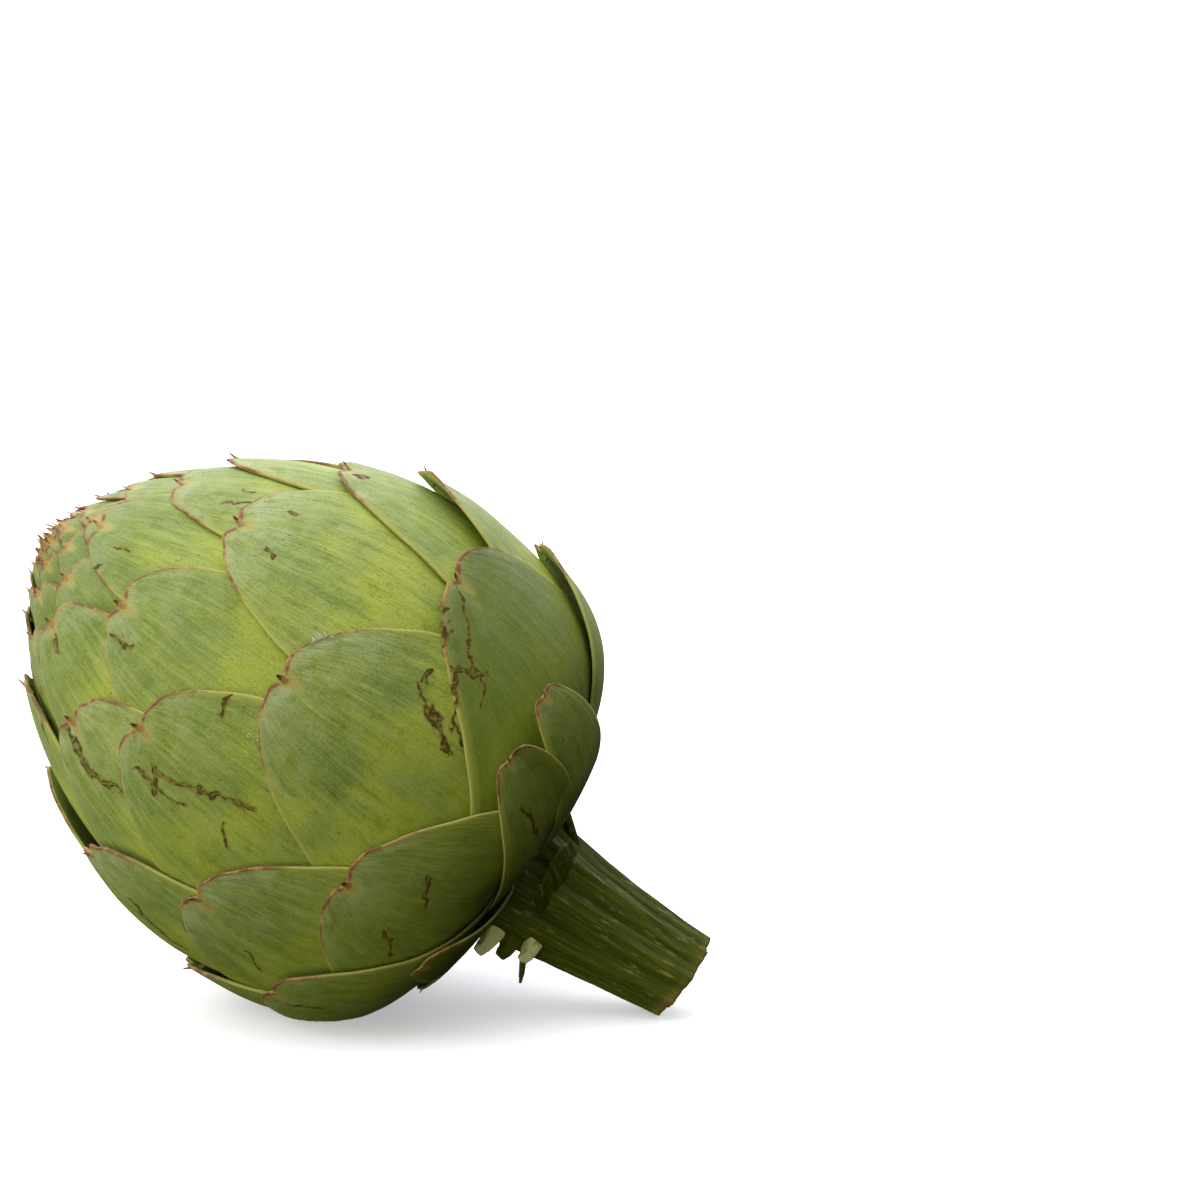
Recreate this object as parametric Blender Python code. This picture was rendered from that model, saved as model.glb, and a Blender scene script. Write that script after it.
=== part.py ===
"""A globe artichoke, picked and lying on its side.

The head is a globe of bracts, which are the leaves of the bud. They sit on a golden spiral round a fleshy
core and overlap like roof tiles, each with a notched tip and a small spine. A short ribbed stem is cut square
and reaches the surface, so that the head rests on the low side of its globe and on the end of its stem.

Lengths are in metres and angles in degrees. +Z is up, the head points to -X and up, and the stem points to
+X and down. The origin is in the middle of the flat spot that the head rests on.
"""

import math

import bmesh
import bpy
import numpy as np
from mathutils import Matrix, Vector

# The globe: its widest radius, its height from stem to apex, and how high up its axis it is widest.
HEAD_RADIUS = 0.0525
HEAD_HEIGHT = 0.111
WIDEST_AT = 0.045
UPPER_POWER, UPPER_ROOT = 1.85, 1.667
LOWER_POWER = 3.0
PROFILE_STEPS = 720

# How the head lies: the tilt of its axis above the surface, and how far the lowest bracts are pressed flat.
AXIS_TILT = 36.0
PRESSED_FLAT = 0.0042

# The spiral of bracts. Bract 0 is the large one in the middle of the front, and higher numbers lie nearer
# the apex.
GOLDEN_ANGLE = 137.508
FIRST_AZIMUTH = -72.0
FIRST_BRACT, LAST_BRACT = -20, 55
MIDDLE_TIP_ARC = 0.071
LOWER_TIP_STEP = 0.00375
UPPER_TIP_DECAY = 18.0
COVERED_AFTER = 18
ROOT_EXTRA = 0.002
LOWEST_ROOT_ARC = 0.159

# One large bract: half its width, and the length from its tip to its widest line.
BRACT_HALF_WIDTH = 0.031
BRACT_SHOULDER = 0.050
SMALLEST_BASAL_HALF_WIDTH = 0.009
TIP_ROW_SHARE = 0.30
NOTCH_DEPTH = 0.0022
NOTCH_WIDTH = 0.0024
TIP_CROWDING = 1.6
SPINE_REACH, SMALL_SPINE_REACH = 0.0003, 0.0016
SPINE_RISE = 0.0013
RIM_THICKNESS = 0.0010
FREE_THICKNESS = 0.0013

# Layering: how much deeper each next bract lies, near the apex and elsewhere, and how deep the core is.
LAYER_STEP, APEX_LAYER_STEP = 0.00034, 0.00017
LAYER_STEP_ARC = 0.040
TIP_HUG, SIDE_HUG = 2.4, 1.2
CORE_LAYERS = 15.0
CORE_RINGS, CORE_SIDES = 17, 24
ROOT_DIVE = 0.0016
SUNK_IN_CORE = 0.0009

# Bracts that stand off the head, and by how much at the tip. The small ones near the apex all do.
SMALL_TIP_LIFT = 0.0020
LEAST_LIFT = 0.0005
LIFTS = {-2: 0.0014, -10: 0.0008, 7: 0.0016, -13: 0.0016, -18: 0.0010, -16: 0.0012, -11: 0.0008, -20: 0.0020}

# Where single bracts of the front sit off the spiral: degrees round the axis and metres towards the stem.
NUDGES = {
    -18: (-24, -0.026), -16: (-5, -0.0055), -13: (-6, -0.007), -11: (2, -0.007), -10: (14, -0.006),
    -8: (-14, 0.001), -5: (4, -0.002), -3: (-7, 0.0), -2: (-9, -0.003), 0: (-6, -0.001), 2: (-1, -0.001),
    3: (13, 0.0), 5: (-5, -0.001), 7: (-6, 0.0), 8: (7, 0.0), 10: (7, 0.0), 11: (6, 0.0), 13: (-2, -0.001),
    15: (-8, -0.003), 16: (10, 0.0), 18: (-3, -0.004), 21: (8, -0.005),
}
NUDGE_SEED = 7
NUDGE_AZIMUTH, NUDGE_ARC = 4.0, 0.0012
NUDGED_FULLY_FROM = 0.02

# The stem: its length past the globe's end, its radius at the head and at the cut, ribs, and how far its
# middle sags off the axis at the head and bends at the cut, upwards and to the front.
STEM_LENGTH = 0.0345
STEM_ROOT = 0.0100
STEM_TOP_RADIUS, STEM_END_RADIUS = 0.0128, 0.0084
STEM_RIBS = 9
RIB_HEIGHT = 0.0006
STEM_SAG, STEM_BEND, STEM_SIDE_BEND = -0.0015, 0.0028, -0.0160
STEM_RINGS = 9
FIT_GAP = 0.0003

# Cut leaf bases round the top of the stem: azimuth, start below the widest line, half width, length, and
# angle out.
LEAF_STUBS = (
    (-158, 0.0510, 0.0042, 0.0062, 78),
    (-128, 0.0555, 0.0036, 0.0045, 70),
    (-62, 0.0515, 0.0075, 0.0085, 52),
    (25, 0.0525, 0.0060, 0.0100, 38),
    (110, 0.0530, 0.0055, 0.0105, 36),
)
STUB_THICKNESS = 0.0018

GREEN = (0.20, 0.25, 0.06, 1.0)
STEM_GREEN = (0.16, 0.20, 0.04, 1.0)


def head_profile():
    """Radius, height over the widest line, and arc from the apex, along the globe's meridian."""
    turn = np.linspace(np.pi / 2, -np.pi / 2, PROFILE_STEPS)
    rise = np.abs(np.sin(turn))
    upper = rise ** (2 / UPPER_POWER)
    lower = rise ** (2 / LOWER_POWER)
    upper_radius = (1 - np.clip(upper, 0, 1) ** UPPER_POWER) ** (1 / UPPER_ROOT)
    lower_radius = (1 - np.clip(lower, 0, 1) ** LOWER_POWER) ** (1 / LOWER_POWER)
    radius = HEAD_RADIUS * np.where(turn > 0, upper_radius, lower_radius)
    height = np.where(turn > 0, (HEAD_HEIGHT - WIDEST_AT) * upper, -WIDEST_AT * lower)
    arc = np.concatenate([[0.0], np.cumsum(np.hypot(np.diff(radius), np.diff(height)))])
    return radius, height, arc


PROFILE_RADIUS, PROFILE_HEIGHT, PROFILE_ARC = head_profile()
TOTAL_ARC = PROFILE_ARC[-1]
ARC_RADIUS = TOTAL_ARC / math.pi


def globe_point(arc, azimuth, rise):
    """Points over the globe: arc from the apex, azimuth in radians, and rise along the surface's normal."""
    radius = np.interp(arc, PROFILE_ARC, PROFILE_RADIUS)
    height = np.interp(arc, PROFILE_ARC, PROFILE_HEIGHT)
    reach = 0.0015
    before, after = np.clip(arc - reach, 0, TOTAL_ARC), np.clip(arc + reach, 0, TOTAL_ARC)
    run = np.interp(after, PROFILE_ARC, PROFILE_RADIUS) - np.interp(before, PROFILE_ARC, PROFILE_RADIUS)
    drop = np.interp(before, PROFILE_ARC, PROFILE_HEIGHT) - np.interp(after, PROFILE_ARC, PROFILE_HEIGHT)
    slope = np.hypot(run, drop)
    outward, upward = drop / slope, run / slope
    radius = radius + rise * outward
    height = height + rise * upward
    return np.stack([radius * np.cos(azimuth), radius * np.sin(azimuth), height], axis=-1)


def tip_arc(number):
    """Arc from the apex to the tip of a bract: even steps below the middle one, ever closer above it."""
    number = np.asarray(number, float)
    above = MIDDLE_TIP_ARC * np.exp(-number / UPPER_TIP_DECAY)
    return np.where(number > 0, above, MIDDLE_TIP_ARC - LOWER_TIP_STEP * number)


def number_at(arc):
    """The number of a bract whose tip would lie at this arc, which is tip_arc turned round."""
    arc = np.maximum(arc, 0.0015)
    above = -UPPER_TIP_DECAY * np.log(arc / MIDDLE_TIP_ARC)
    return np.where(arc < MIDDLE_TIP_ARC, above, (MIDDLE_TIP_ARC - arc) / LOWER_TIP_STEP)


def layer_step(arc):
    """Thickness that each bract adds to the layers at this arc."""
    share = np.clip(arc / LAYER_STEP_ARC, 0, 1)
    share = share * share * (3 - 2 * share)
    return APEX_LAYER_STEP + (LAYER_STEP - APEX_LAYER_STEP) * share


def half_width_of(number):
    """Half the width of a bract: full in the middle tiers, less towards the apex and towards the stem."""
    inner = BRACT_HALF_WIDTH / (1 + (max(0, number - 2) / 26) ** 2.2)
    basal = BRACT_HALF_WIDTH - 0.0027 * max(0, -7 - number)
    return min(inner, max(SMALLEST_BASAL_HALF_WIDTH, basal))


def lift_of(number):
    """How far a bract's tip stands off: its own lift, or more the smaller it is towards the apex."""
    small = np.clip((BRACT_HALF_WIDTH - half_width_of(number)) / BRACT_HALF_WIDTH - 0.35, 0, 1)
    return LIFTS.get(number, SMALL_TIP_LIFT * small if number > 0 else 0.0)


def seat_of(number, draws):
    """Azimuth in radians and tip arc of a bract, off the spiral by its nudge or by a small drawn one."""
    drawn = draws.uniform(-1, 1, 2)
    small = min(1, half_width_of(number) / NUDGED_FULLY_FROM)
    turn, slip = NUDGES.get(number, (NUDGE_AZIMUTH * drawn[0], NUDGE_ARC * drawn[1] * small))
    azimuth = math.radians(FIRST_AZIMUTH + GOLDEN_ANGLE * number + turn)
    lobes = NOTCH_DEPTH * 0.6 * math.sqrt(half_width_of(number) / BRACT_HALF_WIDTH)
    return azimuth, max(float(tip_arc(number)) + slip - lobes, 0.0015)


def bract_sheet(number, seat, across, along):
    """Outer and inner points of a bract, for across from -1 to 1 and along from 0 at its tip to 1 at its end."""
    azimuth, tip = seat
    half_width = half_width_of(number)
    size = half_width / BRACT_HALF_WIDTH
    shoulder = BRACT_SHOULDER * math.sqrt(size)
    length = float(tip_arc(number - COVERED_AFTER) - tip_arc(number)) + ROOT_EXTRA
    length = max(min(length, LOWEST_ROOT_ARC - tip), 0.3 * half_width)
    sag = shoulder * (1 - math.sqrt(1 - TIP_ROW_SHARE**2))
    side = sag + (length - sag) * along**1.25
    width = half_width * np.sqrt(1 - np.clip(1 - side / shoulder, 0, 1) ** 2)
    near_tip = np.clip(1 - along / 0.22, 0, 1) ** 1.5
    crowded = np.sign(across) * np.abs(across) ** TIP_CROWDING
    lateral = width * (across + (crowded - across) * near_tip)
    down = side - sag * (1 - along) ** 3 * (1 - across**2)
    notch = NOTCH_DEPTH * math.sqrt(size)
    down = down + notch * np.exp(-((lateral / (NOTCH_WIDTH * math.sqrt(size))) ** 2)) * near_tip
    spine = (np.abs(across) < 1e-6) & (along < 1e-6)
    reach = SPINE_REACH + (SMALL_SPINE_REACH - SPINE_REACH) * (1 - size)
    down = down - np.where(spine, reach + notch, 0)
    polar, turn = (tip + down) / ARC_RADIUS, lateral / ARC_RADIUS
    outward, sideways, upward = np.sin(polar) * np.cos(turn), np.sin(turn), np.cos(polar) * np.cos(turn)
    arc = ARC_RADIUS * np.arccos(np.clip(upward, -1, 1))
    around = azimuth + np.arctan2(sideways, outward)
    step = layer_step(arc)
    depth = step * (number - number_at(arc)) + ROOT_DIVE * np.clip((along - 0.8) / 0.2, 0, 1) ** 2
    lift = lift_of(number)
    free = np.clip(1 - down / (0.85 * length), 0, 1.1) ** 1.6
    hug = TIP_HUG * np.clip(1 - down / (0.45 * length), 0, 1) ** 2 + SIDE_HUG * np.clip(-across, 0, 1) ** 3
    rise = lift * free - depth - step * hug + np.where(spine, SPINE_RISE * math.sqrt(size), 0)
    rim = (np.abs(across) > 0.999) | (along < 1e-6)
    in_core = np.minimum(rise - RIM_THICKNESS, -CORE_LAYERS * step - SUNK_IN_CORE)
    stands_off = (free > 0.15) & (lift > LEAST_LIFT)
    under = np.where(rim, rise - RIM_THICKNESS, np.where(stands_off, rise - FREE_THICKNESS, in_core))
    return globe_point(arc, around, rise), globe_point(arc, around, under)


def head_matrix():
    """Turns the globe's own frame, with +Z at the apex, into the part's, and sets it down."""
    tilt = math.radians(AXIS_TILT)
    axis = Vector((-math.cos(tilt), 0, math.sin(tilt)))
    up_right = Vector((math.sin(tilt), 0, math.cos(tilt)))
    turn = Matrix((up_right, (0, 1, 0), axis)).transposed().to_4x4()
    outline = globe_point(PROFILE_ARC, np.full(PROFILE_ARC.shape, math.pi), 0.0)
    world = outline @ np.array(turn.to_3x3()).T
    low = int(np.argmin(world[:, 2]))
    centre = Vector((-world[low, 0], 0, -world[low, 2] - PRESSED_FLAT))
    return Matrix.Translation(centre) @ turn


def finish(name, colour, roughness):
    """A plain finish for one part."""
    made = bpy.data.materials.new(name)
    made.use_nodes = True
    shader = made.node_tree.nodes["Principled BSDF"]
    shader.inputs["Base Color"].default_value = colour
    shader.inputs["Roughness"].default_value = roughness
    shader.inputs["Metallic"].default_value = 0.0
    return made


def add_object(name, mesh_data, material=None):
    """A mesh object in the scene, from a bmesh that is then freed."""
    bmesh.ops.recalc_face_normals(mesh_data, faces=mesh_data.faces)
    mesh = bpy.data.meshes.new(name)
    mesh_data.to_mesh(mesh)
    mesh_data.free()
    if material:
        mesh.materials.append(material)
    made = bpy.data.objects.new(name, mesh)
    bpy.context.scene.collection.objects.link(made)
    return made


def make_bract(number, seat, place):
    """One bract as a closed scale: a grid, extruded once, with both sides laid over the globe."""
    half_width = half_width_of(number)
    columns = 6 if half_width > 0.016 else 4
    rows = 5 if half_width > 0.016 else 3
    form = bmesh.new()
    bmesh.ops.create_grid(form, x_segments=columns, y_segments=rows, size=1.0)
    outer = form.verts[:]
    spots = np.array([vertex.co for vertex in outer])
    copied = bmesh.ops.extrude_face_region(form, geom=form.faces[:])["geom"]
    inner = [item for item in copied if isinstance(item, bmesh.types.BMVert)]
    top, _ = bract_sheet(number, seat, spots[:, 0], (spots[:, 1] + 1) / 2)
    spots = np.array([vertex.co for vertex in inner])
    _, under = bract_sheet(number, seat, spots[:, 0], (spots[:, 1] + 1) / 2)
    for vertex, point in zip(outer, top, strict=True):
        vertex.co = place @ Vector(point)
    for vertex, point in zip(inner, under, strict=True):
        vertex.co = place @ Vector(point)
    bmesh.ops.triangulate(form, faces=form.faces)
    return add_object(f"bract_{number - FIRST_BRACT:02d}", form)


def make_core(place):
    """The fleshy middle that the bracts grow from: the globe's profile, sunk under the layers and turned."""
    arcs = np.linspace(0, TOTAL_ARC, CORE_RINGS)
    points = globe_point(arcs, np.zeros(arcs.shape), -CORE_LAYERS * layer_step(arcs))
    form = bmesh.new()
    line = [form.verts.new((max(point[0], 0.0), 0, point[2])) for point in points]
    line[0].co.x = line[-1].co.x = 0
    edges = [form.edges.new(pair) for pair in zip(line, line[1:])]
    around = {"cent": (0, 0, 0), "axis": (0, 0, 1), "angle": math.tau, "steps": CORE_SIDES, "use_merge": True}
    bmesh.ops.spin(form, geom=line + edges, **around)
    bmesh.ops.remove_doubles(form, verts=form.verts, dist=1e-6)
    bmesh.ops.transform(form, matrix=place, verts=form.verts)
    return add_object("head", form, finish("bract_green", GREEN, 0.55))


def boolean(target, operation, cutter=None, cutters=None, solver="MANIFOLD"):
    """Applies one Boolean of target with an object or with all of a collection."""
    change = target.modifiers.new(operation, "BOOLEAN")
    change.operation = operation
    change.solver = solver
    if cutters:
        change.operand_type = "COLLECTION"
        change.collection = cutters
    else:
        change.object = cutter
    graph = bpy.context.evaluated_depsgraph_get()
    mesh = bpy.data.meshes.new_from_object(target.evaluated_get(graph))
    target.modifiers.clear()
    target.data = mesh


def keep_outer_shell(target):
    """Fills what the union sealed and drops loose scraps, by keeping only the largest closed shell."""
    form = bmesh.new()
    form.from_mesh(target.data)
    unseen, shells = set(form.verts), []
    while unseen:
        shell, front = set(), [unseen.pop()]
        while front:
            vertex = front.pop()
            shell.add(vertex)
            near = {edge.other_vert(vertex) for edge in vertex.link_edges} & unseen
            unseen -= near
            front.extend(near)
        shells.append(shell)
    largest = max(shells, key=len)
    loose = [vertex for shell in shells if shell is not largest for vertex in shell]
    bmesh.ops.delete(form, geom=loose, context="VERTS")
    form.to_mesh(target.data)
    form.free()


def remove(*objects):
    """Takes helpers out of the file."""
    for item in objects:
        bpy.data.objects.remove(item)


def surface_block():
    """A block under the surface that the part lies on, which cuts the head's flat spot."""
    form = bmesh.new()
    bmesh.ops.create_cube(form, size=0.4, matrix=Matrix.Translation((0, 0, -0.2)))
    return add_object("surface_block", form)


def stem_radius(along):
    """Radius of the stalk without its ribs, which narrows from the head to the cut end."""
    past = min(max((along - WIDEST_AT) / STEM_LENGTH, 0.0), 1.0)
    return STEM_END_RADIUS + (STEM_TOP_RADIUS - STEM_END_RADIUS) * (1 - past) ** 1.3


def stem_middle(along):
    """How far the stalk's middle is bent off the axis at this length below the widest line."""
    past = min(max((along - WIDEST_AT) / STEM_LENGTH, 0.0), 1.0)
    return Vector((STEM_SAG * (1 - past) + STEM_BEND * past**1.6, STEM_SIDE_BEND * past**1.2, -along))


def make_stalk(place, gap=0.0):
    """The ribbed stalk: rings from inside the head to the cut end, bridged, with both ends filled."""
    form = bmesh.new()
    sides = 4 * STEM_RIBS
    rings = []
    for step in range(STEM_RINGS):
        along = WIDEST_AT - STEM_ROOT + (STEM_LENGTH + STEM_ROOT) * step / (STEM_RINGS - 1)
        radius, middle = stem_radius(along) + gap, stem_middle(along)
        ring = []
        for side in range(sides):
            turn = math.tau * side / sides
            ribbed = radius + RIB_HEIGHT * math.cos(STEM_RIBS * turn)
            out = Vector((ribbed * math.cos(turn), ribbed * math.sin(turn), 0))
            ring.append(form.verts.new(middle + out))
        rings.append(ring)
    for above, below in zip(rings, rings[1:]):
        for side in range(sides):
            after = (side + 1) % sides
            form.faces.new((above[side], above[after], below[after], below[side]))
    form.faces.new(rings[0])
    form.faces.new(rings[-1])
    bmesh.ops.transform(form, matrix=place, verts=form.verts)
    return add_object("stem", form, finish("stem_green", STEM_GREEN, 0.6))


def make_stub(place, azimuth, start, half_width, length, angle_out):
    """One cut leaf base: a short wedge that leaves the stalk towards the head and curves round it."""
    form = bmesh.new()
    bmesh.ops.create_grid(form, x_segments=4, y_segments=3, size=1.0)
    copied = bmesh.ops.extrude_face_region(form, geom=form.faces[:])["geom"]
    inner = {item for item in copied if isinstance(item, bmesh.types.BMVert)}
    middle = stem_middle(start)
    root_radius = stem_radius(start) - 0.0015
    out, rise = math.sin(math.radians(angle_out)), math.cos(math.radians(angle_out))
    for vertex in form.verts:
        across, share = vertex.co.x, (vertex.co.y + 1) / 2
        reach = length * share * (1 - 0.12 * across**2)
        thickness = STUB_THICKNESS * (1.5 - 0.8 * share)
        radius = root_radius + out * reach - (thickness if vertex in inner else 0)
        turn = math.radians(azimuth) + across * half_width * (1 - 0.15 * share) / (root_radius + out * reach)
        vertex.co = middle + Vector((radius * math.cos(turn), radius * math.sin(turn), rise * reach))
    bmesh.ops.triangulate(form, faces=form.faces)
    bmesh.ops.transform(form, matrix=place, verts=form.verts)
    return add_object("stub", form)


def join_all(target, pieces, name):
    """One union of target with every piece, which are then removed."""
    group = bpy.data.collections.new(name)
    bpy.context.scene.collection.children.link(group)
    for piece in pieces:
        bpy.context.scene.collection.objects.unlink(piece)
        group.objects.link(piece)
    boolean(target, "UNION", cutters=group)
    remove(*pieces)
    bpy.data.collections.remove(group)


def make_stem(place):
    """The stalk with its cut leaf bases joined on, and its low corner cut flat where it rests."""
    stem = make_stalk(place)
    join_all(stem, [make_stub(place, *stub) for stub in LEAF_STUBS], "stubs")
    block = surface_block()
    boolean(stem, "DIFFERENCE", cutter=block)
    remove(block)
    keep_outer_shell(stem)
    return stem


def make_head(place):
    """The core with every bract joined on, opened for the stem and pressed flat where it rests."""
    head = make_core(place)
    draws = np.random.default_rng(NUDGE_SEED)
    numbers = range(FIRST_BRACT, LAST_BRACT + 1)
    join_all(head, [make_bract(number, seat_of(number, draws), place) for number in numbers], "bracts")
    socket, block = make_stalk(place, FIT_GAP), surface_block()
    boolean(head, "DIFFERENCE", cutter=socket)
    boolean(head, "DIFFERENCE", cutter=block)
    remove(socket, block)
    keep_outer_shell(head)
    return head


def main():
    """Clears the scene and builds the head and its stem."""
    for item in list(bpy.data.objects):
        bpy.data.objects.remove(item)
    place = head_matrix()
    for item in (make_head(place), make_stem(place)):
        item.data.shade_smooth()
        item.data.set_sharp_from_angle(angle=math.radians(35))


main()
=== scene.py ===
"""A globe artichoke lying on a white surface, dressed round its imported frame.

The head is a globe of leaf scales, called bracts, on a golden spiral. Each bract is one thin sheet worked
out as a whole array: a point is found by its distance across and down the leaf, laid over the globe's
surface, and raised by the layer that the leaf lies in. A short ribbed stalk with cut leaf bases ends in a
square cut on the surface. Lengths are in metres unless a name says mm, and angles in degrees unless a name
says otherwise.
"""

from __future__ import annotations

import logging
import math
from dataclasses import dataclass, field, replace
from enum import Enum
from functools import cached_property

import bmesh
import bpy
import numpy as np
from mathutils import Matrix, Vector

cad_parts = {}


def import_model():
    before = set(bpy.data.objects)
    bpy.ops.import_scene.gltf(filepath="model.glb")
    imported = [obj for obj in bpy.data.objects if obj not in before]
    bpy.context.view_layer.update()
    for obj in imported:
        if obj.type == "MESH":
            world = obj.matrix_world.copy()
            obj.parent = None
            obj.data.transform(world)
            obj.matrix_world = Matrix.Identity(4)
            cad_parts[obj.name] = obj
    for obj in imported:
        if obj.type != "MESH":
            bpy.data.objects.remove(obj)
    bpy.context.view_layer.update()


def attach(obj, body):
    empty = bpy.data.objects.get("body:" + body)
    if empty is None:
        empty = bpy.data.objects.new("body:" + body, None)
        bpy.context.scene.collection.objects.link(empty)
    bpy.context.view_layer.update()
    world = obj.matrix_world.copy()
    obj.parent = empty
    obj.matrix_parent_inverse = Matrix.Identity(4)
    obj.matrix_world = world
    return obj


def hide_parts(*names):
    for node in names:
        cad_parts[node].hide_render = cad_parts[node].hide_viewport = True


Array = np.ndarray
Colour = tuple[float, float, float]
Socket = bpy.types.NodeSocket

LOG = logging.getLogger("artichoke")
BODY = "root"
SHADER = "Principled BSDF"
MM = 0.001
MERGE = 2e-7
FIRST_BRACT = -20
FLOOR_STEP = 0.00003
SCAR_NAMES = ("scar_a", "scar_b", "scar_c", "scar_d", "scar_e")
FAR_OFF = 900.0


class Tier(Enum):
    """Where on the head a bract grows, which sets how finely its sheet is drawn."""

    LARGE = (50, 48)
    MIDDLE = (36, 34)
    TINY = (16, 18)

    @property
    def columns(self) -> int:
        """Columns of points across the outer face."""
        return self.value[0]

    @property
    def rows(self) -> int:
        """Rows of points from tip to root."""
        return self.value[1]


class Zone(Enum):
    """The kind of a piece: one of the bracts or part of the stem."""

    BRACTS = "bracts"
    STEM = "stem"


@dataclass(frozen=True)
class Globe:
    """The head's envelope: a body of revolution round an axis that leans towards the viewer's left.

    Its own frame has the widest circle at height 0 and the apex at the top of its Z axis.
    """

    radius: float = 0.0525
    height: float = 0.111
    widest_at: float = 0.045
    upper_power: float = 1.85
    upper_root: float = 1.667
    lower_power: float = 3.0
    axis_tilt: float = 36.0
    pressed_flat: float = 0.0042
    steps: int = 720
    slope_reach: float = 0.0015

    @cached_property
    def profile(self) -> tuple[Array, Array, Array]:
        """The meridian from apex to stem.

        Above the widest circle the radius is R times (1 - x to the upper power) to 1 over the upper root,
        with x the share of the way to the apex. Below it, it is a superellipse of the lower power.

        Returns:
            Radius, height over the widest circle, and arc length from the apex.
        """
        turn = np.linspace(np.pi / 2, -np.pi / 2, self.steps)
        rise = np.abs(np.sin(turn))
        upper = rise ** (2 / self.upper_power)
        lower = rise ** (2 / self.lower_power)
        upper_radius = (1 - np.clip(upper, 0, 1) ** self.upper_power) ** (1 / self.upper_root)
        lower_radius = (1 - np.clip(lower, 0, 1) ** self.lower_power) ** (1 / self.lower_power)
        radius = self.radius * np.where(turn > 0, upper_radius, lower_radius)
        height = np.where(turn > 0, (self.height - self.widest_at) * upper, -self.widest_at * lower)
        arc = np.concatenate([[0.0], np.cumsum(np.hypot(np.diff(radius), np.diff(height)))])
        return radius, height, arc

    @cached_property
    def total_arc(self) -> float:
        """Arc length of the whole meridian."""
        return float(self.profile[2][-1])

    @cached_property
    def arc_radius(self) -> float:
        """Radius of the ball whose half circle is as long as the meridian."""
        return self.total_arc / math.pi

    @cached_property
    def placement(self) -> Array:
        """The 4 by 4 matrix that lays the globe down, with its flat spot at the origin."""
        tilt = math.radians(self.axis_tilt)
        turn = np.array([
            [math.sin(tilt), 0.0, -math.cos(tilt)],
            [0.0, 1.0, 0.0],
            [math.cos(tilt), 0.0, math.sin(tilt)],
        ])
        radius, height, _ = self.profile
        world = np.stack([-radius, np.zeros_like(radius), height], axis=1) @ turn.T
        low = int(np.argmin(world[:, 2]))
        placed = np.eye(4)
        placed[:3, :3] = turn
        placed[:3, 3] = (-world[low, 0], 0.0, -world[low, 2] - self.pressed_flat)
        return placed

    def place(self, points: Array) -> Array:
        """Points of the globe's own frame, laid down in the part's frame."""
        return points @ self.placement[:3, :3].T + self.placement[:3, 3]

    def point(self, arc: Array, azimuth: Array, rise: Array) -> Array:
        """Points over the envelope: along the meridian, round the axis, then out along the surface's normal.

        Args:
            arc: Distance from the apex along the meridian.
            azimuth: Angle round the axis in radians.
            rise: Distance along the outward normal.

        Returns:
            Points in the globe's own frame, with one more axis than the inputs.
        """
        radii, heights, arcs = self.profile
        before = np.clip(arc - self.slope_reach, 0, self.total_arc)
        after = np.clip(arc + self.slope_reach, 0, self.total_arc)
        run = np.interp(after, arcs, radii) - np.interp(before, arcs, radii)
        drop = np.interp(before, arcs, heights) - np.interp(after, arcs, heights)
        slope = np.hypot(run, drop)
        radius = np.interp(arc, arcs, radii) + rise * drop / slope
        height = np.interp(arc, arcs, heights) + rise * run / slope
        return np.stack([radius * np.cos(azimuth), radius * np.sin(azimuth), height], axis=-1)


@dataclass(frozen=True)
class Spiral:
    """The golden spiral that seats the bracts. Bract 0 is the large one in the middle of the front."""

    golden_angle: float = 137.508
    first_azimuth: float = -72.0
    middle_tip_arc: float = 0.071
    lower_tip_step: float = 0.00375
    upper_tip_decay: float = 18.0
    layer_step: float = 0.00034
    apex_layer_step: float = 0.00017
    layer_step_arc: float = 0.040
    least_arc: float = 0.0015

    def tip_arc(self, number: float) -> float:
        """Arc from the apex to a tip: even steps below the middle bract, ever closer ones above it."""
        if number > 0:
            return self.middle_tip_arc * math.exp(-number / self.upper_tip_decay)
        return self.middle_tip_arc - self.lower_tip_step * number

    def number_at(self, arc: Array) -> Array:
        """The number of the bract whose tip would lie at this arc."""
        arc = np.maximum(arc, self.least_arc)
        above = -self.upper_tip_decay * np.log(arc / self.middle_tip_arc)
        return np.where(arc < self.middle_tip_arc, above, (self.middle_tip_arc - arc) / self.lower_tip_step)

    def layer(self, arc: Array) -> Array:
        """How much deeper each next bract lies at this arc."""
        share = np.clip(arc / self.layer_step_arc, 0, 1)
        share = share * share * (3 - 2 * share)
        return self.apex_layer_step + (self.layer_step - self.apex_layer_step) * share


@dataclass(frozen=True)
class Scar:
    """One brown scratch on a bract, as a straight line that the finish lets wander.

    Attributes:
        start: Across and down from the tip, in mm.
        end: Across and down from the tip, in mm.
        width: Full width in mm at its widest.
    """

    start: tuple[float, float]
    end: tuple[float, float]
    width: float = 0.5

    def measures(self, across_mm: Array, down_mm: Array) -> tuple[Array, Array, float]:
        """Signed distance from the line in mm, the share of the way along it, and half its width in mm."""
        (x0, y0), (x1, y1) = self.start, self.end
        run, fall = x1 - x0, y1 - y0
        length = math.hypot(run, fall)
        along = ((across_mm - x0) * run + (down_mm - y0) * fall) / length**2
        off = ((across_mm - x0) * fall - (down_mm - y0) * run) / length
        return off, along, self.width / 2


NO_SCAR = Scar((FAR_OFF, FAR_OFF), (FAR_OFF + 1, FAR_OFF + 1), 0.0)


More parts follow.
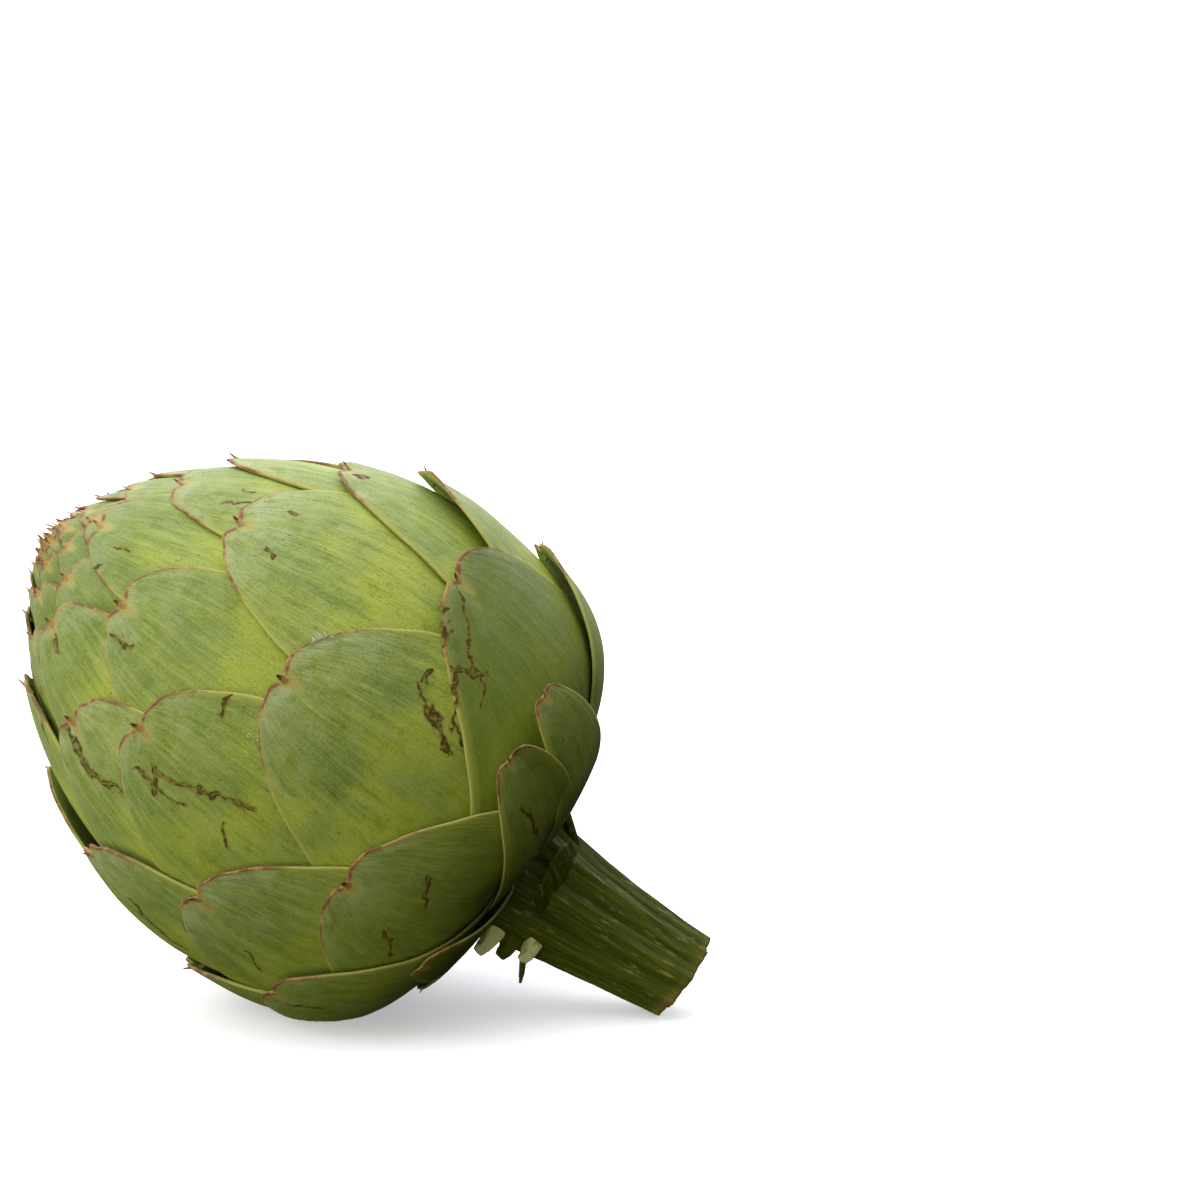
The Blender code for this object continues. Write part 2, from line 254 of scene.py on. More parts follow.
@dataclass(frozen=True)
class Trait:
    """What makes one bract differ from the rule.

    Attributes:
        turn: Degrees off the spiral, or none where it is drawn.
        slip: How far its tip sits towards the stem.
        lift: How far its tip stands off, or none where the rule sets it.
        side_lift: How far its clockwise margin stands off, or below 0 the other margin.
        shear: How far its middle line drifts sideways, as a share of the way down.
        narrow: Its width as a share of what the rule gives.
        shade: How much darker it is than the others, from 0 to 1: partly its own darker tone and partly
            painted shade, as on bracts low on the head or on its right side.
        crease: 1 where it is folded at the tip.
        lint: How many white fibres are stuck on its face.
        fuzz: How many white fibres stand out from its upper lobe.
        scars: Its named scratches.
    """

    turn: float | None = None
    slip: float = 0.0
    lift: float | None = None
    side_lift: float = 0.0
    shear: float = 0.0
    narrow: float = 1.0
    shade: float = 0.0
    crease: float = 0.0
    lint: int = 0
    fuzz: int = 0
    scars: tuple[Scar, ...] = ()


TRAITS: dict[int, Trait] = {
    -20: Trait(lift=0.0020, shade=0.3),
    -18: Trait(-22, -0.026, 0.0004, shade=0.25),
    -16: Trait(-5, -0.0055, 0.0012, shade=0.75),
    -13: Trait(-6, -0.007, 0.0030, side_lift=-0.0022, shear=-0.20, narrow=0.68, shade=0.25,
               scars=(Scar((-3, 9), (-1, 20), 0.4),)),
    -11: Trait(2, -0.007, 0.0008, scars=(Scar((-2, 5), (1, 12), 0.7),)),
    -10: Trait(14, -0.006, 0.0008, side_lift=0.0016),
    -8: Trait(-14, 0.001, shade=0.1, scars=(Scar((9, 14), (3, 19), 0.6), Scar((-4, 14), (-9, 21), 0.9))),
    -5: Trait(4, -0.002, shear=-0.12, shade=0.56, crease=1.0, scars=(
        Scar((0, 0.8), (-16.5, 15), 0.5),
        Scar((-18.5, 10), (-13, 17), 1.3),
        Scar((-18, 11), (-24, 16.5), 0.6),
        Scar((-14.5, 16), (-19, 20), 0.5),
        Scar((-8.5, 2.6), (-17, 6.5), 2.4),
    )),
    -3: Trait(-7, 0.0, scars=(Scar((-5, 16), (-9, 22), 0.3),)),
    -2: Trait(-9, -0.003, 0.0014, side_lift=0.0026),
    0: Trait(-6, -0.001, fuzz=30, scars=(
        Scar((19, 24.5), (15.5, 25.5), 1.9),
        Scar((15.5, 24), (12.4, 27.3), 0.6),
        Scar((12.4, 27), (6.2, 36.7), 1.3),
        Scar((16.6, 33), (12.1, 33), 0.9),
        Scar((12.1, 33), (9.4, 40), 1.2),
    )),
    2: Trait(-1, -0.001, scars=(Scar((1.5, 16), (0.5, 29), 1.6), Scar((3, 13), (1.5, 20), 0.5))),
    3: Trait(13, 0.0, scars=(Scar((-3, 4), (-5, 6), 2.6),)),
    5: Trait(-5, -0.001, shade=0.12, lint=26, scars=(
        Scar((-4.8, 9), (4.5, 29.6), 1.0),
        Scar((-8.3, 5.7), (-5.7, 19), 0.45),
        Scar((-3.8, 8.6), (-9.4, 12.7), 1.6),
        Scar((19.7, 11.4), (14, 12.5), 0.5),
        Scar((-2.5, 25.8), (-7.3, 29.7), 0.6),
    )),
    7: Trait(-6, 0.0, 0.0008),
    8: Trait(7, 0.0, scars=(Scar((-5, 9), (-6, 12), 1.2), Scar((7, 9), (6, 11), 0.9))),
    10: Trait(7, 0.0, scars=(Scar((-2.8, 2), (-3.6, 12.5), 1.5), Scar((-3.6, 12), (1.9, 20), 0.9))),
    11: Trait(6, 0.0),
    13: Trait(-2, -0.001, shade=0.10, scars=(Scar((-6.2, 3.2), (-6, 9.5), 0.5),)),
    15: Trait(-8, -0.003),
    16: Trait(10, 0.0, shade=0.08),
    18: Trait(-3, -0.004, scars=(Scar((0, 4), (-1, 8), 0.8),)),
    21: Trait(8, -0.005),
}


@dataclass(frozen=True)
class LeafBase:
    """What is left of a leaf cut from the stalk.

    Attributes:
        azimuth: Where it sits round the stalk.
        start: How far below the globe's widest circle it leaves the stalk.
        half_width: Half its width.
        length: Its length.
        angle_out: How far it leans out from the stalk.
        thickness: How thick it is in the middle.
        pale: Share of its length that is cut bare.
        curl: How far its end hangs down.
    """

    azimuth: float
    start: float
    half_width: float
    length: float
    angle_out: float
    thickness: float = 0.0015
    pale: float = 0.05
    curl: float = 0.0


# The first four hang under the stalk's root: two cut blocks, a torn dark one between them, and a torn strip.
LEAF_BASES = (
    LeafBase(-168, 0.0490, 0.0026, 0.0052, 78, 0.0034, 0.85),
    LeafBase(-153, 0.0552, 0.0022, 0.0034, 84, 0.0030, 0.55),
    LeafBase(-160, 0.0520, 0.0024, 0.0041, 82, 0.0034, 0.0),
    LeafBase(-156, 0.0528, 0.0010, 0.0064, 112, 0.0008, 0.0, 0.0012),
    LeafBase(-62, 0.0515, 0.0075, 0.0085, 52, 0.0012, 0.0),
    LeafBase(25, 0.0525, 0.0060, 0.0100, 38),
    LeafBase(110, 0.0530, 0.0055, 0.0105, 36),
)


def rings(values: Array, sides: int) -> tuple[Array, Array]:
    """The grid of a surface of rings: each ring's own value, and the angle round it in radians.

    Args:
        values: One value for each ring.
        sides: Points on a ring.

    Returns:
        Two arrays, rings by points.
    """
    rows, turns = np.meshgrid(values, np.linspace(0, 2 * np.pi, sides + 1)[:-1], indexing="ij")
    return rows, turns


@dataclass
class Mesh:
    """Points, four-sided faces and painted values, kept as arrays until they are made an object."""

    points: Array
    faces: Array
    values: dict[str, Array] = field(default_factory=dict)

    @classmethod
    def from_grid(cls, points: Array, around: bool = False, flip: bool = False) -> Mesh:
        """A mesh of a grid of points, one face for each cell.

        Args:
            points: Grid of points, rows by columns by 3.
            around: Joins the last column to the first.
            flip: Turns the faces to point the other way.

        Returns:
            The mesh, with no values painted yet.
        """
        rows, columns = points.shape[:2]
        index = np.arange(rows * columns).reshape(rows, columns)
        if around:
            index = np.concatenate([index, index[:, :1]], axis=1)
        corners = [index[:-1, :-1], index[:-1, 1:], index[1:, 1:], index[1:, :-1]]
        faces = np.stack([corner.ravel() for corner in (corners[::-1] if flip else corners)], axis=1)
        return cls(points.reshape(-1, 3), faces)

    @classmethod
    def joined(cls, parts: list[Mesh]) -> Mesh:
        """Several meshes with the same painted values as one."""
        starts = np.cumsum([0] + [len(part.points) for part in parts])
        points = np.concatenate([part.points for part in parts])
        faces = np.concatenate([part.faces + start for part, start in zip(parts, starts)])
        values = {name: np.concatenate([part.values[name] for part in parts]) for name in parts[0].values}
        return cls(points, faces, values)

    def paint(self, name: str, *parts: Array) -> None:
        """Stores three numbers for each point under a name.

        Args:
            name: The attribute's name.
            parts: Three arrays with a value for each point, or numbers that hold for all.
        """
        full = np.broadcast_arrays(*parts, np.empty(len(self.points)))[:3]
        self.values[name] = np.stack(full, axis=-1)

    def build(self, name: str, material: bpy.types.Material, zone: Zone, node: str) -> bpy.types.Object:
        """Makes the piece: smooth shaded, with its poles and seams merged, riding on the body.

        Args:
            name: The piece's name.
            material: Its finish.
            zone: Not used.
            node: The solid that it stands for.

        Returns:
            The object at the origin, with its values as point attributes.
        """
        made = bpy.data.meshes.new(name)
        made.from_pydata(self.points, [], self.faces)
        for key, value in self.values.items():
            layer = made.attributes.new(key, "FLOAT_VECTOR", "POINT")
            layer.data.foreach_set("vector", value.astype(np.float32).ravel())
        form = bmesh.new()
        form.from_mesh(made)
        bmesh.ops.remove_doubles(form, verts=form.verts, dist=MERGE)
        form.to_mesh(made)
        form.free()
        made.shade_smooth()
        made.materials.append(material)
        piece = bpy.data.objects.new(name, made)
        bpy.context.scene.collection.objects.link(piece)
        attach(piece, BODY)
        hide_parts(node)
        LOG.info("%s: %d faces", name, len(made.polygons))
        return piece


@dataclass(frozen=True)
class Loop:
    """The grid of a closed thin sheet: round its face, one edge, its underside and the other edge, in rows.

    The rows start at the tip, where face and underside meet in a rounded edge, and end at the root, where
    they meet again.

    Attributes:
        across: Share of the half width, from -1 to 1.
        along: Share of the length, 0 at the tip.
        aside: Share of half the thickness that a point lies out past the side edges.
        ahead: Share of half the thickness that a point lies out past the tip.
        level: 1 on the face and -1 on the underside.
    """

    across: Array
    along: Array
    aside: Array
    ahead: Array
    level: Array

    @classmethod
    def woven(cls, columns: int, rows: int, crowding: float = 1.15) -> Loop:
        """Lays out the grid.

        The face's columns are a mix of even ones and ones by a sine, which crowd at both edges. The level
        follows a cosine round the edges, while the way out follows the sine.

        Args:
            columns: Cells across the face.
            rows: Cells from tip to root.
            crowding: Power that draws rows to the tip.

        Returns:
            The loop, with every array rows by columns.
        """
        even = np.linspace(-1, 1, columns + 1)
        face = 0.55 * np.sin(even * np.pi / 2) + 0.45 * even
        flat = np.ones(columns + 1)
        turn = np.linspace(0, np.pi, 7)[1:-1]
        edge = np.ones(len(turn))
        across = np.concatenate([face, edge, face[::-1], -edge])
        aside = np.concatenate([0 * flat, np.sin(turn), 0 * flat, -np.sin(turn)])
        level = np.concatenate([flat, np.cos(turn), -flat, -np.cos(turn)])
        tip_turn = np.radians([0.0, 35.0, 65.0])
        along = np.concatenate([0 * tip_turn, np.linspace(0, 1, rows + 1) ** crowding, [1.0]])
        swell = np.concatenate([np.sin(tip_turn), np.ones(rows + 1), [0.0]])
        ahead = np.concatenate([np.cos(tip_turn), np.zeros(rows + 2)])
        across_grid, along_grid = np.meshgrid(across, along)
        return cls(
            across_grid,
            along_grid,
            swell[:, None] * aside[None, :],
            ahead[:, None] + 0 * across_grid,
            swell[:, None] * level[None, :],
        )

    def squared(self, power: float) -> Loop:
        """The same grid with nearly square edges: each way out is its own size to a power below 1."""
        turned = {}
        for name in ("aside", "ahead", "level"):
            part = getattr(self, name)
            turned[name] = np.sign(part) * np.abs(part) ** power
        return replace(self, **turned)


@dataclass
class Bract:
    """One leaf scale: a notched sheet with a spur in its notch, laid over the globe in its own layer."""

    number: int
    azimuth: float
    tip: float
    globe: Globe
    spiral: Spiral
    trait: Trait
    tone: float
    waves: Array
    full_half_width: float = 0.031
    full_shoulder: float = 0.050
    last_full: int = 2
    inner_span: float = 26.0
    inner_power: float = 2.2
    first_basal: int = -7
    basal_step: float = 0.0027
    smallest_basal: float = 0.009
    large_from: float = 0.021
    middle_from: float = 0.0085
    tip_row_share: float = 0.30
    notch_depth: float = 0.0022
    notch_width: float = 0.0024
    tip_crowding: float = 1.6
    full_thickness: float = 0.0007
    ragged: float = 0.00022
    crown_height: float = 0.00028
    swell_height: float = 0.00016
    rib_height: float = 0.00003
    lobe_height: float = 0.00022
    valley_depth: float = 0.0010
    curl_height: float = 0.0016
    spur_radius: float = 0.0014
    well_inside: float = 0.004
    fibre_radius: float = 0.000045
    fibre_lengths: tuple[float, float] = (0.0005, 0.0013)
    fibre_bend: float = 0.0002
    fibre_seed: int = 3
    lint_place: tuple[float, float] = (0.0170, 0.0215)
    lint_spread: tuple[float, float] = (0.0022, 0.0024)
    fuzz_reach: float = 0.075
    covered_after: int = 18
    root_extra: float = 0.002
    lowest_root_arc: float = 0.159
    root_dive: float = 0.0016
    tip_hug: float = 2.4
    side_hug: float = 1.2
    small_tip_lift: float = 0.0042

    @cached_property
    def half_width(self) -> float:
        """Half the width of the whole leaf, less towards the apex and towards the stem."""
        above = max(0, self.number - self.last_full) / self.inner_span
        inner = self.full_half_width / (1 + above**self.inner_power)
        basal = self.full_half_width - self.basal_step * max(0, self.first_basal - self.number)
        return min(inner, max(self.smallest_basal, basal)) * self.trait.narrow

    @property
    def size(self) -> float:
        """The leaf's width as a share of the largest."""
        return self.half_width / self.full_half_width

    @property
    def root_size(self) -> float:
        """The square root of the size, by which lengths on the leaf shrink."""
        return math.sqrt(self.size)

    @property
    def thickness(self) -> float:
        """How thick the free edge is."""
        return self.full_thickness * (0.55 + 0.45 * self.size)

    @property
    def tier(self) -> Tier:
        """How finely this leaf is drawn."""
        if self.half_width > self.large_from:
            return Tier.LARGE
        return Tier.MIDDLE if self.half_width > self.middle_from else Tier.TINY

    @cached_property
    def length(self) -> float:
        """Length from the tip to the hidden root."""
        covered_by = self.spiral.tip_arc(self.number - self.covered_after)
        whole = covered_by - self.spiral.tip_arc(self.number)
        return max(min(whole + self.root_extra, self.lowest_root_arc - self.tip), 0.3 * self.half_width)

    @cached_property
    def lift(self) -> float:
        """How far the tip stands off the head."""
        if self.trait.lift is not None:
            return self.trait.lift
        small = min(max((self.full_half_width - self.half_width) / self.full_half_width - 0.35, 0), 1)
        return self.small_tip_lift * small if self.number > 0 else 0.0

    def outline(self, across: Array, along: Array) -> tuple[Array, Array, Array]:
        """Where shares of the leaf's width and length lie.

        The half width follows an ellipse from the tip to the shoulder, and wanders by two slow sines. The
        first row sags like the ellipse's end, is drawn together towards the middle line, has a bell-shaped
        notch, and is ragged by two short sines.

        Args:
            across: Share of the half width, from -1 to 1.
            along: Share of the length, 0 at the tip.

        Returns:
            Distance across, distance down from the level of the lobes, and the half width there.
        """
        shoulder = self.full_shoulder * self.root_size
        sag = shoulder * (1 - math.sqrt(1 - self.tip_row_share**2))
        side = sag + (self.length - sag) * along**1.25
        width = self.half_width * np.sqrt(1 - np.clip(1 - side / shoulder, 0, 1) ** 2)
        wander = np.sin(11 * along + self.waves[0]) + 0.5 * np.sin(31 * along + self.waves[3])
        width = width * (1 + 0.008 * wander * np.sign(across))
        near_tip = np.clip(1 - along / 0.22, 0, 1) ** 1.5
        crowded = np.sign(across) * np.abs(across) ** self.tip_crowding
        lateral = width * (across + (crowded - across) * near_tip)
        down = side - sag * (1 - along) ** 3 * (1 - across**2)
        bell = np.exp(-((lateral / (self.notch_width * self.root_size)) ** 2))
        down = down + self.notch_depth * self.root_size * bell * near_tip
        uneven = np.sin(lateral / 0.0012 + self.waves[1]) + np.sin(lateral / 0.0031 + self.waves[2])
        down = down + self.ragged * self.root_size * uneven * near_tip * (1 - bell)
        return lateral, down, width

    def relief(self, lateral: Array, down: Array, across: Array) -> Array:
        """Small heights on the face.

        A low crown, slow crossed sines, fine ribs along the leaf, plump lobes beside the notch, a margin that
        stands off where the trait raises it and, on a folded leaf, a valley on a slanting line with the lobe
        beside it curled out.

        Args:
            lateral: Distance across.
            down: Distance down from the tip.
            across: Share of the half width.

        Returns:
            The height over the plain sheet at each point.
        """
        _, first, second, third = self.waves
        root = self.root_size
        crown = self.crown_height * self.size * (1 - across**2) * np.clip(down / 0.012, 0, 1)
        slow = self.swell_height * self.size * np.sin(lateral / 0.0060 + first)
        slow = slow * np.sin(down / 0.0095 + second)
        ribs = np.sin(across * 34 + 1.5 * np.sin(down / 0.009 + third)) * np.clip(down / 0.004, 0, 1)
        dip = np.exp(-((lateral / (0.0028 * root)) ** 2))
        lobes = self.lobe_height * root * np.exp(-((down / (0.0050 * root)) ** 2)) * (1 - 1.5 * dip)
        raised = self.trait.side_lift
        outer = np.clip(-across * math.copysign(1, raised), 0, 1) ** 2.5
        margin = abs(raised) * outer * np.clip(1 - down / 0.032, 0, 1)
        line = np.exp(-(((lateral + 0.12 * down) / 0.0022) ** 2))
        valley = -self.valley_depth * line * np.clip(1 - down / 0.024, 0, 1)
        curl = self.curl_height * np.clip(lateral / 0.010, 0, 1) ** 2 * np.clip(1 - down / 0.018, 0, 1)
        return crown + slow + self.rib_height * ribs + lobes + margin + self.trait.crease * (valley + curl)

    def laid(self, lateral: Array, down: Array, across: Array, along: Array, height: Array) -> Array:
        """Points of the leaf in the part's frame.

        A point goes down the meridian and sideways along a great circle of the arc ball. Its height over the
        globe is minus the layer depth and a hug at the tip and one side, plus the lift, the relief and its
        own height.

        Args:
            lateral: Distance across.
            down: Distance down from the tip.
            across: Share of the half width.
            along: Share of the length.
            height: Distance over the leaf's face.

        Returns:
            The points, kept just over the surface that the head rests on.
        """
        ball = self.globe.arc_radius
        polar, turn = (self.tip + down) / ball, (lateral + self.trait.shear * down) / ball
        arc = ball * np.arccos(np.clip(np.cos(polar) * np.cos(turn), -1, 1))
        around = self.azimuth + np.arctan2(np.sin(turn), np.sin(polar) * np.cos(turn))
        step = self.spiral.layer(arc)
        depth = step * (self.number - self.spiral.number_at(arc))
        depth = depth + self.root_dive * np.clip((along - 0.8) / 0.2, 0, 1) ** 2
        free = np.clip(1 - down / (0.85 * self.length), 0, 1.1) ** 1.6
        hug = self.tip_hug * np.clip(1 - down / (0.45 * self.length), 0, 1) ** 2
        hug = hug + self.side_hug * np.clip(-across, 0, 1) ** 3
        rise = self.lift * free - depth - step * hug + self.relief(lateral, down, across) + height
        points = self.globe.place(self.globe.point(arc, around, rise))
        resting = FLOOR_STEP * (self.number - FIRST_BRACT) - 0.4 * np.minimum(height, 0)
        points[..., 2] = np.maximum(points[..., 2], resting)
        return points

    def sheet(self) -> Mesh:
        """The leaf's closed sheet, painted with its own measures."""
        loop = Loop.woven(self.tier.columns, self.tier.rows)
        half = self.thickness / 2
        lateral, down, width = self.outline(loop.across, loop.along)
        tip_line = self.outline(loop.across, np.zeros_like(loop.along))[1]
        margin = np.minimum((1 - np.abs(loop.across)) * width, down - tip_line)
        lateral, down = lateral + half * loop.aside, down - half * loop.ahead
        height = -half * (1 - loop.level)
        points = self.laid(lateral, down, loop.across, loop.along, height)
        made = Mesh.from_grid(points, around=True, flip=True)
        self.dress(made, lateral, down, margin, loop.across, (1 - loop.level) / 2, 0 * height)
        return made

    def spur(self) -> Mesh:
        """The fleshy spur in the notch: flat rings on a line that comes out of the face and bends off it.

        The half width falls from the broad root to the point as the share still to go, to a power, and the
        rings are about half as high as wide. The line starts under the face and rises as a power of the
        share, less on small leaves.
        """
        share, around = rings(np.linspace(0, 1, 19), 14)
        root = self.root_size
        radius = self.spur_radius * (0.14 + 0.86 * root)
        start = self.notch_depth * root + 1.7 * radius
        end = 0.0009 * root - 0.0004 * (1 - root)
        spread = 0.92 * radius * (1 - share) ** 0.60 * np.minimum(1, share / 0.12) ** 0.5
        lateral = spread * np.cos(around) + 0.3 * radius * math.sin(11 * self.tone) * share**2
        down = start + (end - start) * share
        sunk = -0.80 * radius * (1 - share)
        height = sunk + (1.15 - 0.90 * (1 - root)) * radius * share**1.8 + 0.52 * spread * np.sin(around)
        return self.tube(lateral, down, height, 0.05 + 0.95 * share, flip=True)

    def fibres(self) -> list[Mesh]:
        """The trait's white fibres: first those stuck on the face, then those out of the lobe's edge."""
        draws = np.random.default_rng(self.fibre_seed)
        count = self.trait.lint + self.trait.fuzz
        return [self.fibre(draws, index >= self.trait.lint) for index in range(count)]

    def fibre(self, draws: np.random.Generator, stands: bool) -> Mesh:
        """One white fibre: a thin tube, bent by a sine and by a slant, whose radius falls at both ends.

        Args:
            draws: Where its place, length and bends are drawn from.
            stands: Whether it stands out of the upper lobe's edge or lies on the face.

        Returns:
            The tube, painted as a fibre.
        """
        share, around = rings(np.linspace(0, 1, 8), 5)
        length, bend = draws.uniform(*self.fibre_lengths), draws.normal(0, self.fibre_bend, 2)
        thick = self.fibre_radius * np.sqrt(np.clip(1 - (2 * share - 1) ** 4, 0.0, 1))
        if stands:
            lean = draws.normal(0.4, 0.5, 2)
            lateral, down, _ = self.outline(np.array(1.0), np.array(draws.uniform(0.0, self.fuzz_reach)))
            rise, run = 0.4 * length * share - 0.0001, -lean[0] * length * share + 0.0001
            lateral = lateral + lean[1] * length * share
        else:
            lateral = draws.normal(self.lint_place[0], self.lint_spread[0])
            down = draws.normal(self.lint_place[1], self.lint_spread[1])
            rise, run = 0.0001 + 0 * share, length * share
        lateral = lateral + bend[0] * np.sin(3 * share) + thick * np.cos(around)
        down, height = down + run + bend[1] * share, rise + thick * np.sin(around)
        return self.tube(lateral, down, height, 2 + 0 * share)

    def tube(self, lateral: Array, down: Array, height: Array, kind: Array, flip: bool = False) -> Mesh:
        """Rings of points on the leaf, painted as if well inside its margin.

        Args:
            lateral: Distance across the leaf.
            down: Distance down from the tip.
            height: Distance over the leaf's face.
            kind: The spur value that is painted.
            flip: Turns the faces to point the other way.

        Returns:
            The painted mesh.
        """
        none = np.zeros_like(height)
        made = Mesh.from_grid(self.laid(lateral, down, none, none, height), around=True, flip=flip)
        self.dress(made, lateral, down, none + self.well_inside, none, none, kind)
        return made

    def dress(self, mesh: Mesh, lateral: Array, down: Array, margin: Array, across: Array, under: Array,
              spur: Array) -> None:
        """Paints the measures that the finish reads.

        Args:
            mesh: The mesh to paint.
            lateral: Distance across the leaf.
            down: Distance down from the tip.
            margin: Distance in from the edge.
            across: Share of the half width.
            under: 0 on the face and 1 on the underside.
            spur: 0 on the leaf, up to 1 at the spur's point, and 2 on a white fibre.
        """
        mesh.paint("place", lateral.ravel() / MM, down.ravel() / MM, margin.clip(0).ravel() / MM)
        mesh.paint("nature", across.ravel(), self.size, self.tone)
        mesh.paint("side", under.ravel(), spur.ravel(), (self.tip + down).ravel() / MM)
        mesh.paint("mood", self.trait.shade, self.waves[0], self.waves[1])
        for name, scar in zip(SCAR_NAMES, self.trait.scars + (NO_SCAR,) * len(SCAR_NAMES)):
            mesh.paint(name, *scar.measures(lateral.ravel() / MM, down.ravel() / MM))


@dataclass
class Head:
    """The globe of bracts round its fleshy core."""

    globe: Globe
    spiral: Spiral = field(default_factory=Spiral)
    last_apart: int = 34
    last: int = 72
    seat_seed: int = 7
    drawn_turn: float = 4.0
    drawn_slip: float = 0.0012
    looks_seed: int = 500
    core_layers: float = 14.0
    core_down_mm: float = 60.0
    core_margin_mm: float = 9.0
    core_arc_mm: float = 120.0

    def bracts(self) -> list[Bract]:
        """Every bract in its seat, from the stem to the apex."""
        draws = np.random.default_rng(self.seat_seed)
        return [self.bract(number, draws.uniform(-1, 1, 2)) for number in range(FIRST_BRACT, self.last + 1)]

    def bract(self, number: int, drawn: Array) -> Bract:
        """One bract in its seat on the spiral, moved by its trait or by a small draw.

        Args:
            number: Its place on the spiral.
            drawn: Two draws from -1 to 1.

        Returns:
            The bract, with the scars of its trait or drawn ones.
        """
        looks = np.random.default_rng(self.looks_seed + number)
        trait = TRAITS.get(number, Trait())
        waves = looks.uniform(0, 2 * math.pi, 4)
        made = Bract(number, 0.0, 0.0, self.globe, self.spiral, trait, float(looks.uniform(-1, 1)), waves)
        turn, slip = trait.turn, trait.slip
        if turn is None:
            turn = self.drawn_turn * drawn[0]
            slip = self.drawn_slip * drawn[1] * min(1.0, made.half_width / 0.02)
        if not trait.scars:
            made.trait = replace(trait, scars=self.drawn_scars(looks, made))
        lobes = made.notch_depth * 0.6 * made.root_size
        made.azimuth = math.radians(self.spiral.first_azimuth + self.spiral.golden_angle * number + turn)
        made.tip = max(self.spiral.tip_arc(number) + slip - lobes, self.spiral.least_arc)
        return made

    @staticmethod
    def drawn_scars(looks: np.random.Generator, bract: Bract) -> tuple[Scar, ...]:
        """Up to two faint scratches on the part of the leaf that shows."""
        reach = bract.half_width / MM
        made = []
        for _ in range(looks.integers(0, 3)):
            x, y = looks.uniform(-0.5, 0.5) * reach, looks.uniform(3, 16) * bract.root_size
            run, lean = looks.uniform(2, 8) * bract.root_size, looks.uniform(-0.5, 0.5)
            made.append(Scar((x, y), (x + lean * run, y + run), looks.uniform(0.2, 0.5)))
        return tuple(made)

    def core(self) -> Mesh:
        """The fleshy middle: the globe's meridian, sunk under the layers and turned round the axis.

        It is painted like the hidden foot of a leaf.
        """
        share, turn = rings(np.linspace(0, 1, 60), 72)
        arc = self.globe.total_arc * share
        points = self.globe.point(arc, turn, -self.core_layers * self.spiral.layer(arc))
        points[[0, -1], :, :2] = 0
        made = Mesh.from_grid(self.globe.place(points), around=True)
        made.paint("place", 0.0, self.core_down_mm, self.core_margin_mm)
        made.paint("nature", np.sin(3 * turn).ravel(), 1.0, 0.0)
        made.paint("side", 0.0, 0.0, self.core_arc_mm)
        made.paint("mood", 0.0, 0.0, 0.0)
        for name in SCAR_NAMES:
            made.paint(name, FAR_OFF, FAR_OFF, 0.0)
        return made

    def build(self, finish: bpy.types.Material) -> None:
        """Builds each large bract as a piece of its own, the small ones at the apex as one, and the core."""
        apex = []
        for bract in self.bracts():
            parts = [bract.sheet(), bract.spur(), *bract.fibres()]
            if bract.number > self.last_apart:
                apex += parts
            else:
                name = f"bract_{bract.number - FIRST_BRACT:02d}"
                Mesh.joined(parts).build(name, finish, Zone.BRACTS, "head")
        Mesh.joined(apex).build("apex_bracts", finish, Zone.BRACTS, "head")
        self.core().build("heart", finish, Zone.BRACTS, "head")


